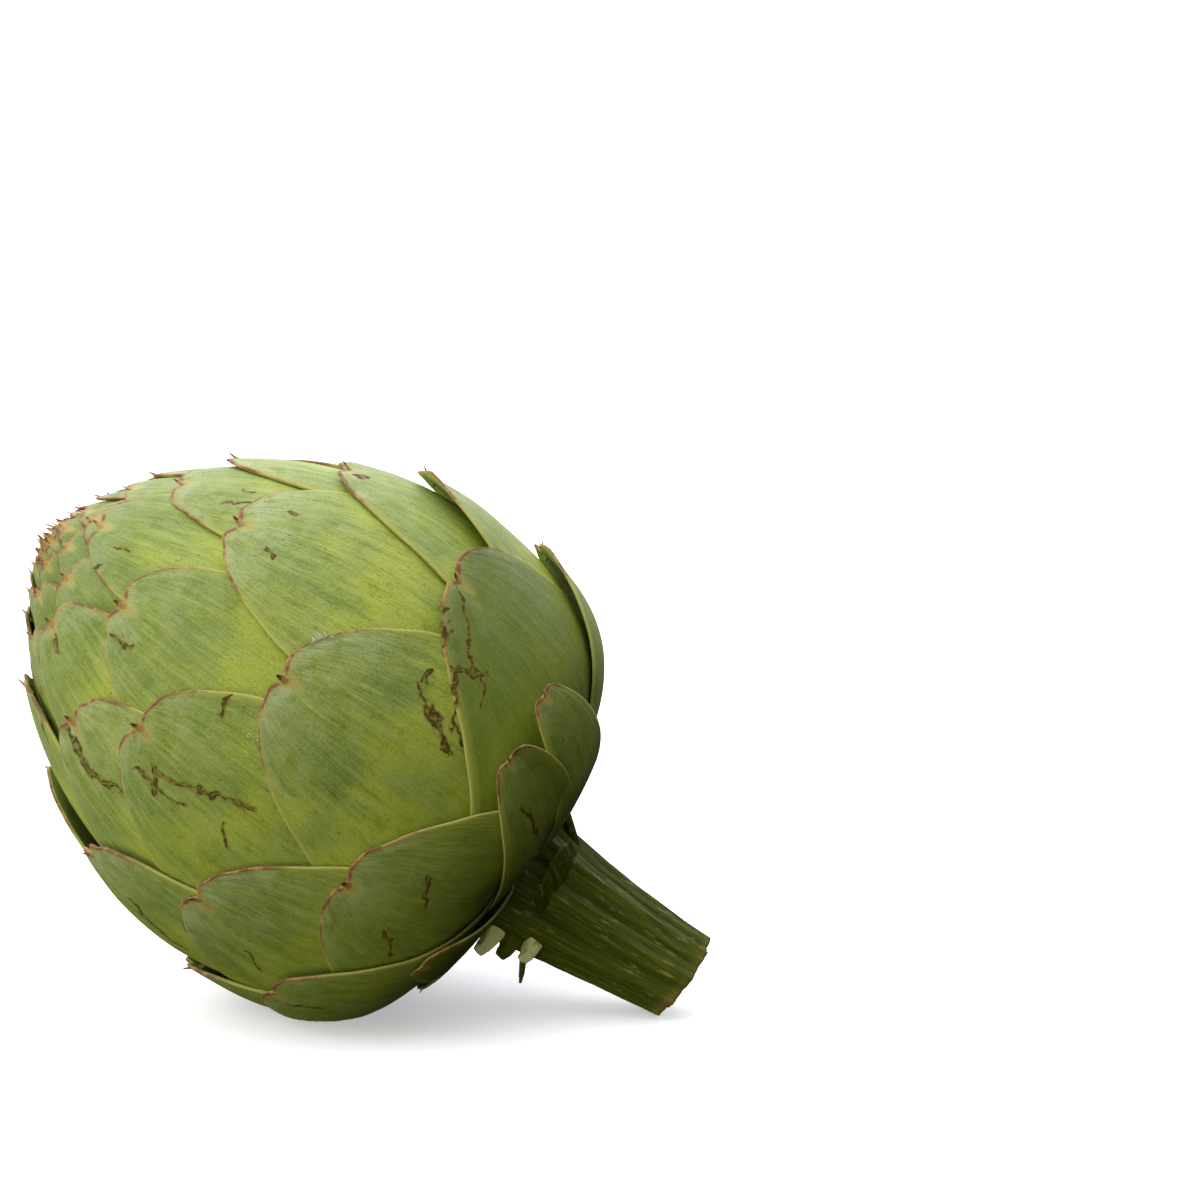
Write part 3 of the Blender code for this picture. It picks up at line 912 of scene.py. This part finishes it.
@dataclass
class Stem:
    """The ribbed stalk with its cut leaf bases.

    Each set of fine ribs is given by its count, its height, and how far and how often it wanders.
    """

    globe: Globe
    length: float = 0.0345
    root: float = 0.0100
    top_radius: float = 0.0128
    end_radius: float = 0.0084
    ribs: int = 9
    rib_height: float = 0.0006
    fine_ribs: tuple[tuple[float, ...], ...] = ((27, 0.00020, 1.3, 5), (61, 0.00010, 2.0, 8))
    sag: float = -0.0015
    bend: float = 0.0028
    side_bend: float = -0.0160
    stalk_rings: int = 90
    sides: int = 180
    cut_rings: int = 14
    cut_dish: float = 0.0006
    squareness: float = 0.4
    base_sunk: float = 0.0015

    def share(self, along: Array) -> Array:
        """Share of the way from the head to the cut, for a length below the widest circle."""
        return np.clip((along - self.globe.widest_at) / self.length, 0, 1)

    def radius(self, along: Array) -> Array:
        """The stalk's radius without its ribs: it narrows as the share still to go, to a power."""
        return self.end_radius + (self.top_radius - self.end_radius) * (1 - self.share(along)) ** 1.3

    def middle(self, along: Array) -> Array:
        """The stalk's middle line, which sags at the head, and bends away as the share to a power."""
        share = self.share(along)
        up = self.sag * (1 - share) + self.bend * share**1.6
        return np.stack([up, self.side_bend * share**1.2, -along], axis=-1)

    def stalk(self) -> Mesh:
        """The ribbed stalk and its cut.

        The radius is the plain one plus a cosine for each set of ribs, the fine ones wandering along the
        stalk. The cut is rings of falling radius on a shallow dish.
        """
        start, end = self.globe.widest_at - self.root, self.globe.widest_at + self.length
        along = np.concatenate([[start], np.linspace(start, end, self.stalk_rings)])
        along = np.concatenate([along, np.full(self.cut_rings, along[-1])])
        scale = np.concatenate([[0.0], np.ones(self.stalk_rings), np.linspace(0.97, 0, self.cut_rings)])
        along, turn = rings(along, self.sides)
        scale = np.broadcast_to(scale[:, None], along.shape)
        share = self.share(along)
        ribs = self.rib_height * np.cos(self.ribs * turn)
        for count, height, wander, often in self.fine_ribs:
            ribs = ribs + height * np.cos(count * turn + wander * np.sin(often * share))
        radius = scale * (self.radius(along) + ribs)
        dish = self.cut_dish * (1 - scale**2) * (share > 0.99)
        around = np.stack([radius * np.cos(turn), radius * np.sin(turn), dish], axis=-1)
        points = self.globe.place(self.middle(along) + around)
        points[..., 2] = np.maximum(points[..., 2], FLOOR_STEP)
        made = Mesh.from_grid(points, around=True, flip=True)
        cut = ((share > 0.99) & (scale < 0.99)).astype(float)
        made.paint("place", turn.ravel() * self.top_radius / MM, along.ravel() / MM, scale.ravel())
        made.paint("side", cut.ravel(), share.ravel(), (ribs / self.rib_height).ravel())
        return made

    def stub(self, base: LeafBase) -> Mesh:
        """One cut leaf base: a square-edged wedge that leaves the stalk towards the head and curves round it.

        Its reach is its length times the share, less at its sides and ragged by two sines. Its distance from
        the stalk's middle grows with the reach by the sine of the angle out, and its height by the cosine.
        Its thickness is set off at a right angle to that.
        """
        loop = Loop.woven(22, 20).squared(self.squareness)
        across, share = loop.across, 1 - loop.along
        thickness = base.thickness * (1.4 - 0.7 * share)
        out, rise = math.sin(math.radians(base.angle_out)), math.cos(math.radians(base.angle_out))
        ragged = 0.06 * np.sin(4 * across + base.azimuth) + 0.02 * np.sin(11 * across + 2 * base.azimuth)
        reach = base.length * share * (1 - 0.10 * across**2 + ragged * share**2) + thickness / 2 * loop.ahead
        rim_radius = float(self.radius(np.array(base.start))) - self.base_sunk + out * reach
        inward = thickness / 2 * (1 - loop.level)
        radius = rim_radius - rise * inward
        width = across * base.half_width * (1 - 0.15 * share) + thickness / 2 * loop.aside
        turn = math.radians(base.azimuth) + width / rim_radius
        up = rise * reach + out * inward
        around = np.stack([radius * np.cos(turn), radius * np.sin(turn), up], axis=-1)
        points = self.globe.place(self.middle(np.array(base.start)) + around)
        points[..., 2] = np.maximum(points[..., 2] - base.curl * share**2, FLOOR_STEP)
        made = Mesh.from_grid(points, around=True)
        cut = np.clip((share - 1 + base.pale) / 0.06, 0, 1) * (base.pale > 0)
        made.paint("place", width.ravel() / MM, reach.ravel() / MM, 1.0)
        made.paint("side", cut.ravel(), 0.3, np.cos(12 * across).ravel())
        return made

    def build(self, finish: bpy.types.Material) -> None:
        """Builds the stalk and each leaf base as a piece of its own."""
        self.stalk().build("stalk", finish, Zone.STEM, "stem")
        for index, base in enumerate(LEAF_BASES):
            self.stub(base).build(f"leaf_base_{index + 1}", finish, Zone.STEM, "stem")


class Wire:
    """A number or a colour on its way through a node tree, which can be reckoned with like a number."""

    def __init__(self, graph: Graph, socket: Socket) -> None:
        """Keeps the socket that the value comes out of."""
        self.graph = graph
        self.socket = socket

    def __add__(self, other: Value) -> Wire:
        """The sum."""
        return self.graph.math("ADD", self, other)

    __radd__ = __add__

    def __sub__(self, other: Value) -> Wire:
        """The difference."""
        return self.graph.math("SUBTRACT", self, other)

    def __rsub__(self, other: Value) -> Wire:
        """The difference, the other way round."""
        return self.graph.math("SUBTRACT", other, self)

    def __mul__(self, other: Value) -> Wire:
        """The product."""
        return self.graph.math("MULTIPLY", self, other)

    def __truediv__(self, other: Value) -> Wire:
        """The quotient."""
        return self.graph.math("DIVIDE", self, other)

    def __abs__(self) -> Wire:
        """The size without its sign."""
        return self.graph.math("ABSOLUTE", self)

    def __pow__(self, power: float) -> Wire:
        """The power."""
        return self.graph.math("POWER", self, power)

    def band(self, low: float, high: float) -> Wire:
        """A smooth step from 0 at low to 1 at high, falling where low is the larger."""
        node = self.graph.node("ShaderNodeMapRange", interpolation_type="SMOOTHSTEP")
        self.graph.feed(node.inputs["Value"], self)
        self.graph.feed(node.inputs["From Min"], low)
        self.graph.feed(node.inputs["From Max"], high)
        return Wire(self.graph, node.outputs["Result"])


Value = Wire | float


class Graph:
    """A material's or the sky's node tree, with one method for each kind of step."""

    def __init__(self, owner: bpy.types.Material | bpy.types.World) -> None:
        """Switches the owner's nodes on."""
        owner.use_nodes = True
        self.tree = owner.node_tree

    def node(self, kind: str, **settings: object) -> bpy.types.Node:
        """A new node with its settings."""
        made = self.tree.nodes.new(kind)
        for name, value in settings.items():
            setattr(made, name, value)
        return made

    def feed(self, socket: Socket, value: Value | Colour) -> None:
        """Joins a wire to a socket, or sets the socket's own value."""
        if isinstance(value, Wire):
            self.tree.links.new(value.socket, socket)
        elif isinstance(value, tuple) and socket.type == "RGBA":
            socket.default_value = (*value, 1.0)
        else:
            socket.default_value = value

    def math(self, operation: str, *values: Value) -> Wire:
        """One sum on one or two numbers."""
        made = self.node("ShaderNodeMath", operation=operation)
        for socket, value in zip(made.inputs, values):
            self.feed(socket, value)
        return Wire(self, made.outputs[0])

    def both(self, first: Value, second: Value) -> Wire:
        """The larger of two numbers."""
        return self.math("MAXIMUM", first, second)

    def mix(self, share: Value, first: Wire | Colour, second: Wire | Colour) -> Wire:
        """A colour between two."""
        made = self.node("ShaderNodeMix", data_type="RGBA", clamp_factor=True)
        for index, value in ((0, share), (6, first), (7, second)):
            self.feed(made.inputs[index], value)
        return Wire(self, made.outputs[2])

    def layered(self, colour: Wire | Colour, *layers: tuple[Value, Wire | Colour]) -> Wire:
        """A colour with others laid over it, each by its own share."""
        for share, over in layers:
            colour = self.mix(share, colour, over)
        return colour

    def vector(self, x: Value, y: Value, z: Value) -> Wire:
        """Three numbers as one vector."""
        made = self.node("ShaderNodeCombineXYZ")
        for socket, value in zip(made.inputs, (x, y, z)):
            self.feed(socket, value)
        return Wire(self, made.outputs[0])

    def split(self, vector: Wire) -> tuple[Wire, Wire, Wire]:
        """A vector's three numbers."""
        made = self.node("ShaderNodeSeparateXYZ")
        self.feed(made.inputs[0], vector)
        return tuple(Wire(self, socket) for socket in made.outputs)

    def painted(self, name: str) -> tuple[Wire, Wire, Wire]:
        """The three numbers painted on the mesh under a name."""
        made = self.node("ShaderNodeAttribute", attribute_name=name)
        return self.split(Wire(self, made.outputs["Vector"]))

    def coordinates(self, kind: str = "Object") -> Wire:
        """The place on the object, or another of the texture coordinates."""
        return Wire(self, self.node("ShaderNodeTexCoord").outputs[kind])

    def noise(self, vector: Wire, scale: float = 1.0, detail: float = 2.0, rough: float = 0.5) -> Wire:
        """Smooth noise, mostly between 0.3 and 0.7."""
        made = self.node("ShaderNodeTexNoise")
        for name, value in (("Vector", vector), ("Scale", scale), ("Detail", detail), ("Roughness", rough)):
            self.feed(made.inputs[name], value)
        return Wire(self, made.outputs[0])

    def bump(self, height: Wire, distance: float) -> Wire:
        """Turns a height into a slope of the surface."""
        made = self.node("ShaderNodeBump")
        self.feed(made.inputs["Distance"], distance)
        self.feed(made.inputs["Height"], height)
        return Wire(self, made.outputs[0])

    def fill(self, node: str, values: dict[str, Value | Colour]) -> None:
        """Feeds the inputs of a node that the tree has from the start.

        Args:
            node: The node's name.
            values: What goes into each input, by the input's name.
        """
        inputs = self.tree.nodes[node].inputs
        for name, value in values.items():
            self.feed(inputs[name], value)

    def surface(self, colour: Wire, roughness: Wire, shine: float, normal: Wire) -> None:
        """Feeds the shader of a surface with its colour, roughness, shine and slopes."""
        values = {"Base Color": colour, "Roughness": roughness, "Specular IOR Level": shine, "Normal": normal}
        self.fill(SHADER, values)


class LeafMeasures:
    """The bracts' painted measures, in mm, and the noises that their finish is mixed from.

    Attributes:
        lateral, down, margin: Distance across the leaf, down from its tip and in from its edge.
        under, spur, arc: Share of the underside, the spur value, and the distance from the apex.
        shade, own: How much darker the leaf is than others, partly its own tone and partly painted shade, and
            a number drawn for it.
        root, along: The square root of the leaf's size, and the distance down over that root.
        fibre, streak, speck, patch: Noises laid along the leaf: fine lines, broad ones, dots and areas.
        broad, blotch, grain: Noises laid over the whole head, from the broadest to the finest.
        reach: The distance along, bent by noise and by the leaf's tone.
        far: 0 near the tip and 1 far down from it, bent by noise.
        edge: The distance in from the edge on a leaf of full size, bent by noise.
    """

    def __init__(self, graph: Graph) -> None:
        """Reads the painted measures, lays the noises and bends three lengths by them."""
        self.lateral, self.down, self.margin = graph.painted("place")
        across, size, tone = graph.painted("nature")
        self.under, self.spur, self.arc = graph.painted("side")
        self.shade, self.own, second = graph.painted("mood")
        self.root = size**0.5
        self.along = self.down / self.root
        place = graph.coordinates()
        vein = self.lateral * 1.1 + across * size * 34.0
        lengthwise = graph.vector(vein, self.down * 0.17, self.own * 7.0)
        drawn_out = graph.vector(vein * 0.24, self.down * 0.05, second * 9.0)
        short = graph.vector(self.lateral * 1.3, self.down * 0.45, self.own * 5.0)
        wide = graph.vector(self.lateral * 0.09, self.down * 0.07, second * 3.0)
        self.fibre = graph.noise(lengthwise, 1.0, 4.0, 0.65)
        self.streak = graph.noise(drawn_out, 1.0, 3.0, 0.6)
        self.speck = graph.noise(short, 1.0, 2.0, 0.5)
        self.patch = graph.noise(wide, 1.0, 1.0)
        self.broad = graph.noise(place, 80.0, 2.0)
        self.blotch = graph.noise(place, 280.0, 4.0, 0.65)
        self.grain = graph.noise(place, 2600.0, 2.0, 0.6)
        uneven = self.broad - 0.5
        self.reach = self.along + uneven * 34.0 + (self.streak - 0.5) * 20.0 + tone * 1.5
        self.far = (self.along + uneven * 16.0).band(5, 14)
        frayed = (self.grain - 0.5) * 0.30 + (self.blotch - 0.5) * 0.55
        self.edge = self.margin / (self.root * 0.5 + 0.5) + frayed


@dataclass(frozen=True)
class LeafSkin:
    """The bracts' finish: a bloomed green with fine fibres, a thin purple rim, a tan spur and brown scars."""

    tip_green: Colour = (0.300, 0.365, 0.120)
    face_green: Colour = (0.245, 0.315, 0.050)
    base_green: Colour = (0.435, 0.500, 0.052)
    cool_green: Colour = (0.200, 0.290, 0.078)
    powder: Colour = (0.48, 0.54, 0.30)
    pale_green: Colour = (0.42, 0.48, 0.13)
    deep_green: Colour = (0.085, 0.135, 0.006)
    # Painted shade low on the head: a darker green with less blue, where less light is reflected.
    low_shade_green: Colour = (0.170, 0.215, 0.003)
    purple_rim: Colour = (0.22, 0.070, 0.040)
    tan_rim: Colour = (0.42, 0.26, 0.08)
    straw_rim: Colour = (0.47, 0.46, 0.13)
    bright_band: Colour = (0.36, 0.385, 0.055)
    spur_yellow: Colour = (0.47, 0.42, 0.10)
    spur_tan: Colour = (0.48, 0.26, 0.09)
    spur_brown: Colour = (0.16, 0.030, 0.015)
    scar_brown: Colour = (0.090, 0.060, 0.006)
    scar_tan: Colour = (0.23, 0.19, 0.03)
    # Painted shade on the foot of the head, darkest towards the stem.
    painted_shade_by_stem: Colour = (0.040, 0.042, 0.003)
    inner_pale: Colour = (0.42, 0.46, 0.14)
    fibre_white: Colour = (0.86, 0.90, 0.84)
    shine: float = 0.22
    bump_depth: float = 0.00024

    def build(self) -> bpy.types.Material:
        """Makes the material: the face, its margin and scars, painted shade towards the stem, then the
        underside, spur and white fibres.
        """
        material = bpy.data.materials.new("leaf_skin")
        graph = Graph(material)
        leaf = LeafMeasures(graph)
        dark, stain = self.scars(graph, leaf)
        colour = self.margin(graph, leaf, self.face(graph, leaf))
        colour = graph.layered(
            colour,
            (stain, self.scar_tan),
            (dark, self.scar_brown),
            # Painted shade: darker towards the stem at the foot of the head.
            ((leaf.arc + (leaf.broad - 0.5) * 34.0).band(116, 155) * 0.85, self.painted_shade_by_stem),
            (leaf.under.band(0.6, 0.85), self.inner_pale),
        )
        colour = self.spur(graph, leaf, colour)
        height = leaf.fibre * 1.0 + leaf.streak * 0.5 + leaf.blotch * 0.5 + leaf.grain * 0.20 - dark * 0.35
        roughness = 0.44 + leaf.grain * 0.16 + dark * 0.12
        graph.surface(colour, roughness, self.shine, graph.bump(height, self.bump_depth))
        return material

    def face(self, graph: Graph, leaf: LeafMeasures) -> Wire:
        """The greens from tip to root, with bloom, streaks, fibres, grain, specks, the leaf's darkness that
        is partly painted shade, and painted shade over the apex and low on the head.
        """
        bloom = leaf.blotch.band(0.42, 0.68) * 0.40 * (1.0 - leaf.along.band(3, 24) * 0.75)
        tip_bloom = leaf.edge.band(5.5, 0.8) * (1.0 - leaf.far) * leaf.blotch.band(0.35, 0.6) * 0.58
        return graph.layered(
            self.tip_green,
            (leaf.reach.band(0, 13), self.face_green),
            (leaf.reach.band(14, 32), self.base_green),
            (leaf.patch.band(0.44, 0.70) * 0.50, self.cool_green),
            (bloom, self.powder),
            (tip_bloom, self.powder),
            (leaf.blotch.band(0.46, 0.30) * 0.30, self.deep_green),
            (leaf.streak.band(0.50, 0.70) * 0.55, self.pale_green),
            (leaf.streak.band(0.46, 0.30) * 0.22, self.deep_green),
            (leaf.fibre.band(0.50, 0.68) * 0.50, self.pale_green),
            (leaf.fibre.band(0.48, 0.34) * 0.30, self.deep_green),
            (leaf.grain.band(0.48, 0.30) * 0.36, self.deep_green),
            (leaf.grain.band(0.54, 0.72) * 0.30, self.powder),
            (leaf.speck.band(0.69, 0.74) * leaf.blotch.band(0.40, 0.55) * 0.6, self.scar_brown),
            # The leaf's darkness: partly its own darker tone, partly painted shade on low and right-hand
            # bracts.
            (leaf.shade, self.deep_green),
            # Painted shade over the apex, where the small tips overlap.
            (leaf.arc.band(46.0, 8.0) * 0.50, self.deep_green),
            # Painted shade low on the head: a darker, less blue green where less light is reflected.
            ((leaf.arc + (leaf.broad - 0.5) * 20.0).band(88.0, 112.0) * 0.26, self.low_shade_green),
        )

    def margin(self, graph: Graph, leaf: LeafMeasures, colour: Wire) -> Wire:
        """A bright band, a purple and tan rim that turns to straw down the sides, and tan by the spur."""
        near = 1.0 - leaf.far
        patchy = (leaf.blotch.band(0.46, 0.62), self.tan_rim)
        rim = graph.layered(self.purple_rim, patchy, (leaf.far, self.straw_rim))
        beside = (abs(leaf.lateral) / (leaf.root * 1.7)) ** 2
        below = (abs(leaf.along - 3.2) / 3.6) ** 2
        spread = beside + below + (leaf.blotch - 0.5) * 2.4
        return graph.layered(
            colour,
            (leaf.edge.band(2.4, 0.5) * (0.22 + leaf.far * 0.45), self.bright_band),
            (leaf.edge.band(1.3, 0.3) * near * leaf.blotch.band(0.40, 0.60) * 0.55, self.tan_rim),
            (leaf.edge.band(0.60, 0.18) * (0.92 - leaf.far * 0.25), rim),
            (spread.band(1.3, 0.1) * 0.55, self.spur_yellow),
            (spread.band(0.7, -0.6) * 0.65, self.spur_tan),
        )

    def spur(self, graph: Graph, leaf: LeafMeasures, colour: Wire) -> Wire:
        """The spur, yellow to tan to a dark red point that is shorter on small leaves, and white fibres."""
        mottled = leaf.spur + (leaf.grain - 0.5) * 0.3 + (leaf.blotch - 0.5) * 0.5
        return graph.layered(
            colour,
            (mottled.band(0.20, 0.50) * 0.6, self.spur_yellow),
            (mottled.band(0.30, 0.62) * 0.85, self.spur_tan),
            ((mottled - (1.0 - leaf.root) * 0.24).band(0.64, 0.84), self.spur_brown),
            (leaf.spur.band(1.4, 1.6), self.fibre_white),
        )

    @staticmethod
    def scars(graph: Graph, leaf: LeafMeasures) -> tuple[Wire, Wire]:
        """The dark outlines of the scars, and the tan stain between and round them.

        The distance from each line is bent by three sizes of noise, and its width swells and pinches with
        another, so that the scar wanders, loops and breaks.

        Args:
            graph: The material's nodes.
            leaf: The painted measures.

        Returns:
            How dark and how stained each place is, from 0 to 1.
        """
        dark: Value = 0.0
        stain: Value = 0.0
        flat = graph.vector(leaf.lateral, leaf.down, leaf.own * 13.0)
        bend = graph.noise(flat, 0.18, 1.0)
        crook = graph.noise(flat, 0.50, 1.0)
        swell = graph.noise(flat, 0.40, 1.0)
        gap = graph.noise(flat, 0.9, 3.0, 0.6)
        for name in SCAR_NAMES:
            off, along, half = graph.painted(name)
            bent = off + (bend - 0.5) * 4.0 + (crook - 0.5) * 1.7 + (gap - 0.5) * 0.6
            wide = graph.both(half * swell.band(0.30, 0.64) * 1.35, 0.12)
            outside = abs(bent) - wide
            begins = (along + (crook - 0.5) * 0.15).band(-0.02, 0.05)
            there = begins * along.band(1.03, 0.92) * half.band(0.0, 0.1)
            line = outside.band(0.20, 0.0) * ((outside / wide).band(-1.0, -0.4) + gap.band(0.46, 0.60) * 0.6)
            thin = outside.band(0.18, -0.04) * half.band(0.36, 0.24)
            dark = graph.both(dark, graph.both(line, thin) * there * (gap.band(0.36, 0.56) * 0.8 + 0.2))
            stain = graph.both(stain, outside.band(0.7, -0.1) * there * 0.80)
        return dark, stain


@dataclass(frozen=True)
class StemSkin:
    """The stalk's finish: dark green with lengthwise fibres and painted shade in its rib grooves, and a pale
    cut that browns at its rim.
    """

    skin_green: Colour = (0.060, 0.078, 0.002)
    ridge_green: Colour = (0.130, 0.150, 0.012)
    groove_dark: Colour = (0.026, 0.030, 0.001)
    scrape_pale: Colour = (0.30, 0.30, 0.14)
    cut_pale: Colour = (0.78, 0.80, 0.40)
    cut_brown: Colour = (0.22, 0.15, 0.035)
    shine: float = 0.10
    bump_depth: float = 0.00025

    def build(self) -> bpy.types.Material:
        """Makes the material from the stem's painted measures."""
        material = bpy.data.materials.new("stem_skin")
        graph = Graph(material)
        lateral, along, radius = graph.painted("place")
        cut, share, ridge = graph.painted("side")
        place = graph.coordinates()
        fibre = graph.noise(graph.vector(lateral * 1.6, along * 0.09, 0.0), 1.0, 4.0, 0.6)
        scrape = graph.noise(graph.vector(lateral * 0.8, along * 0.22, 4.0), 1.0, 3.0, 0.6)
        broad = graph.noise(place, 120.0, 2.0)
        fine = graph.noise(place, 1500.0, 2.0)
        rind = (radius + (fine - 0.5) * 0.3).band(0.78, 0.98) * share.band(0.5, 0.9)
        threads = graph.noise(place, 900.0, 1.0).band(0.60, 0.72) * 0.5
        pith = graph.layered(self.cut_pale, (rind, self.cut_brown), (threads, self.cut_brown))
        colour = graph.layered(
            self.skin_green,
            (fibre.band(0.46, 0.70) * 0.8, self.ridge_green),
            (fibre.band(0.46, 0.32) * 0.7, self.groove_dark),
            # Painted shade in the grooves between the ribs.
            (ridge.band(-0.3, -1.1) * 0.4, self.groove_dark),
            (scrape.band(0.58, 0.70) * 0.50, self.scrape_pale),
            ((share + (broad - 0.5) * 0.2).band(0.92, 1.0) * 0.5, self.cut_brown),
            (cut.band(0.2, 0.6), pith),
        )
        height = fibre * 1.0 + fine * 0.3
        roughness = 0.50 + fine * 0.14 + cut * 0.15
        graph.surface(colour, roughness, self.shine, graph.bump(height, self.bump_depth))
        return material


@dataclass(frozen=True)
class Studio:
    """The white surface, the soft sky and the camera at the photograph's angle."""

    camera_azimuth: float = -4.0
    camera_elevation: float = 9.0
    camera_distance: float = 1.0
    frame_px: float = 1200.0
    focal_px: float = 5200.0
    globe_px: tuple[float, float] = (334.0, 737.0)
    sensor_mm: float = 36.0
    floor_reach: float = 14.0
    floor_colour: Colour = (0.84, 0.84, 0.83)
    floor_glow_colour: Colour = (0.96, 0.98, 1.0)
    floor_glow: float = 0.42
    floor_roughness: float = 0.9
    floor_shine: float = 0.1
    window_colour: Colour = (1.0, 0.99, 0.74)
    window_lean: tuple[float, float] = (-1.25, -0.90)
    window_threshold: float = 0.22
    window_least: float = 0.02
    window_lost_below: float = 0.95
    overhead_colour: Colour = (0.98, 0.99, 1.06)
    overhead_lean: tuple[float, float, float] = (-0.215, 0.52, 0.826)
    overhead_edge: tuple[float, float] = (0.05, 1.08)
    overhead_strength: float = 3.08

    def floor(self) -> None:
        """A matt white floor that fills the frame, with a glow of its own that keeps the shadow light."""
        reach = self.floor_reach
        corners = [(-reach, -reach, 0), (reach, -reach, 0), (reach, reach, 0), (-reach, reach, 0)]
        made = bpy.data.meshes.new("floor")
        made.from_pydata(corners, [], [(0, 1, 2, 3)])
        material = bpy.data.materials.new("white_surface")
        Graph(material).fill(SHADER, {
            "Base Color": self.floor_colour,
            "Roughness": self.floor_roughness,
            "Specular IOR Level": self.floor_shine,
            "Emission Color": self.floor_glow_colour,
            "Emission Strength": self.floor_glow,
        })
        made.materials.append(material)
        floor = bpy.data.objects.new("floor", made)
        bpy.context.scene.collection.objects.link(floor)
        floor.visible_diffuse = False
        floor.visible_glossy = False
        floor.visible_shadow = False

    def sky(self) -> None:
        """A soft sky: a wide window at the front left, and a broad light overhead, leaning to the back left.

        The window's strength is how far a direction leans to it, less a threshold, and it is lost below the
        horizon. The overhead light's is a smooth step of how far a direction leans to it. The colour is the
        window's, or the overhead light's where that is strong.
        """
        world = bpy.data.worlds.new("soft_sky")
        bpy.context.scene.world = world
        graph = Graph(world)
        x, y, up = graph.split(graph.coordinates("Generated"))
        to_left, to_front = self.window_lean
        window = graph.both(x * to_left + y * to_front - self.window_threshold, self.window_least)
        window = window * (1.0 - up.band(0.0, -1.0) * self.window_lost_below)
        lean_x, lean_y, lean_up = self.overhead_lean
        toward = x * lean_x + y * lean_y + up * lean_up
        overhead = toward.band(*self.overhead_edge) * self.overhead_strength
        light = graph.mix(overhead, self.window_colour, self.overhead_colour)
        graph.fill("Background", {"Color": light, "Strength": window + overhead})

    def camera(self, target: Vector) -> None:
        """Puts the camera where the globe's middle falls on its measured pixel, with no shift.

        Args:
            target: The middle of the globe.
        """
        azimuth, elevation = math.radians(self.camera_azimuth), math.radians(self.camera_elevation)
        back = Vector((
            math.sin(azimuth) * math.cos(elevation),
            -math.cos(azimuth) * math.cos(elevation),
            math.sin(elevation),
        ))
        right = (-back).cross(Vector((0, 0, 1))).normalized()
        up = right.cross(-back)
        offset_x = self.globe_px[0] - self.frame_px / 2
        offset_y = self.globe_px[1] - self.frame_px / 2
        ray = (-back * self.focal_px + right * offset_x - up * offset_y).normalized()
        data = bpy.data.cameras.new("camera")
        data.sensor_width = self.sensor_mm
        data.lens = self.focal_px / self.frame_px * self.sensor_mm
        data.clip_start, data.clip_end = 0.01, 100.0
        camera = bpy.data.objects.new("camera", data)
        bpy.context.scene.collection.objects.link(camera)
        turn = Matrix((right, up, back)).transposed().to_4x4()
        camera.matrix_world = Matrix.Translation(target - ray * self.camera_distance) @ turn
        bpy.context.scene.camera = camera

    def build(self, target: Vector) -> None:
        """Sets the stage round the object."""
        bpy.context.scene.view_settings.view_transform = "Standard"
        self.camera(target)
        self.floor()
        self.sky()


def main() -> None:
    """Loads the frame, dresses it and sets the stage."""
    logging.basicConfig(level=logging.INFO, format="%(name)s: %(message)s")
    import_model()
    globe = Globe()
    Studio().build(Vector(globe.placement[:3, 3]))
    Head(globe).build(LeafSkin().build())
    Stem(globe).build(StemSkin().build())


if __name__ == "__main__":
    main()
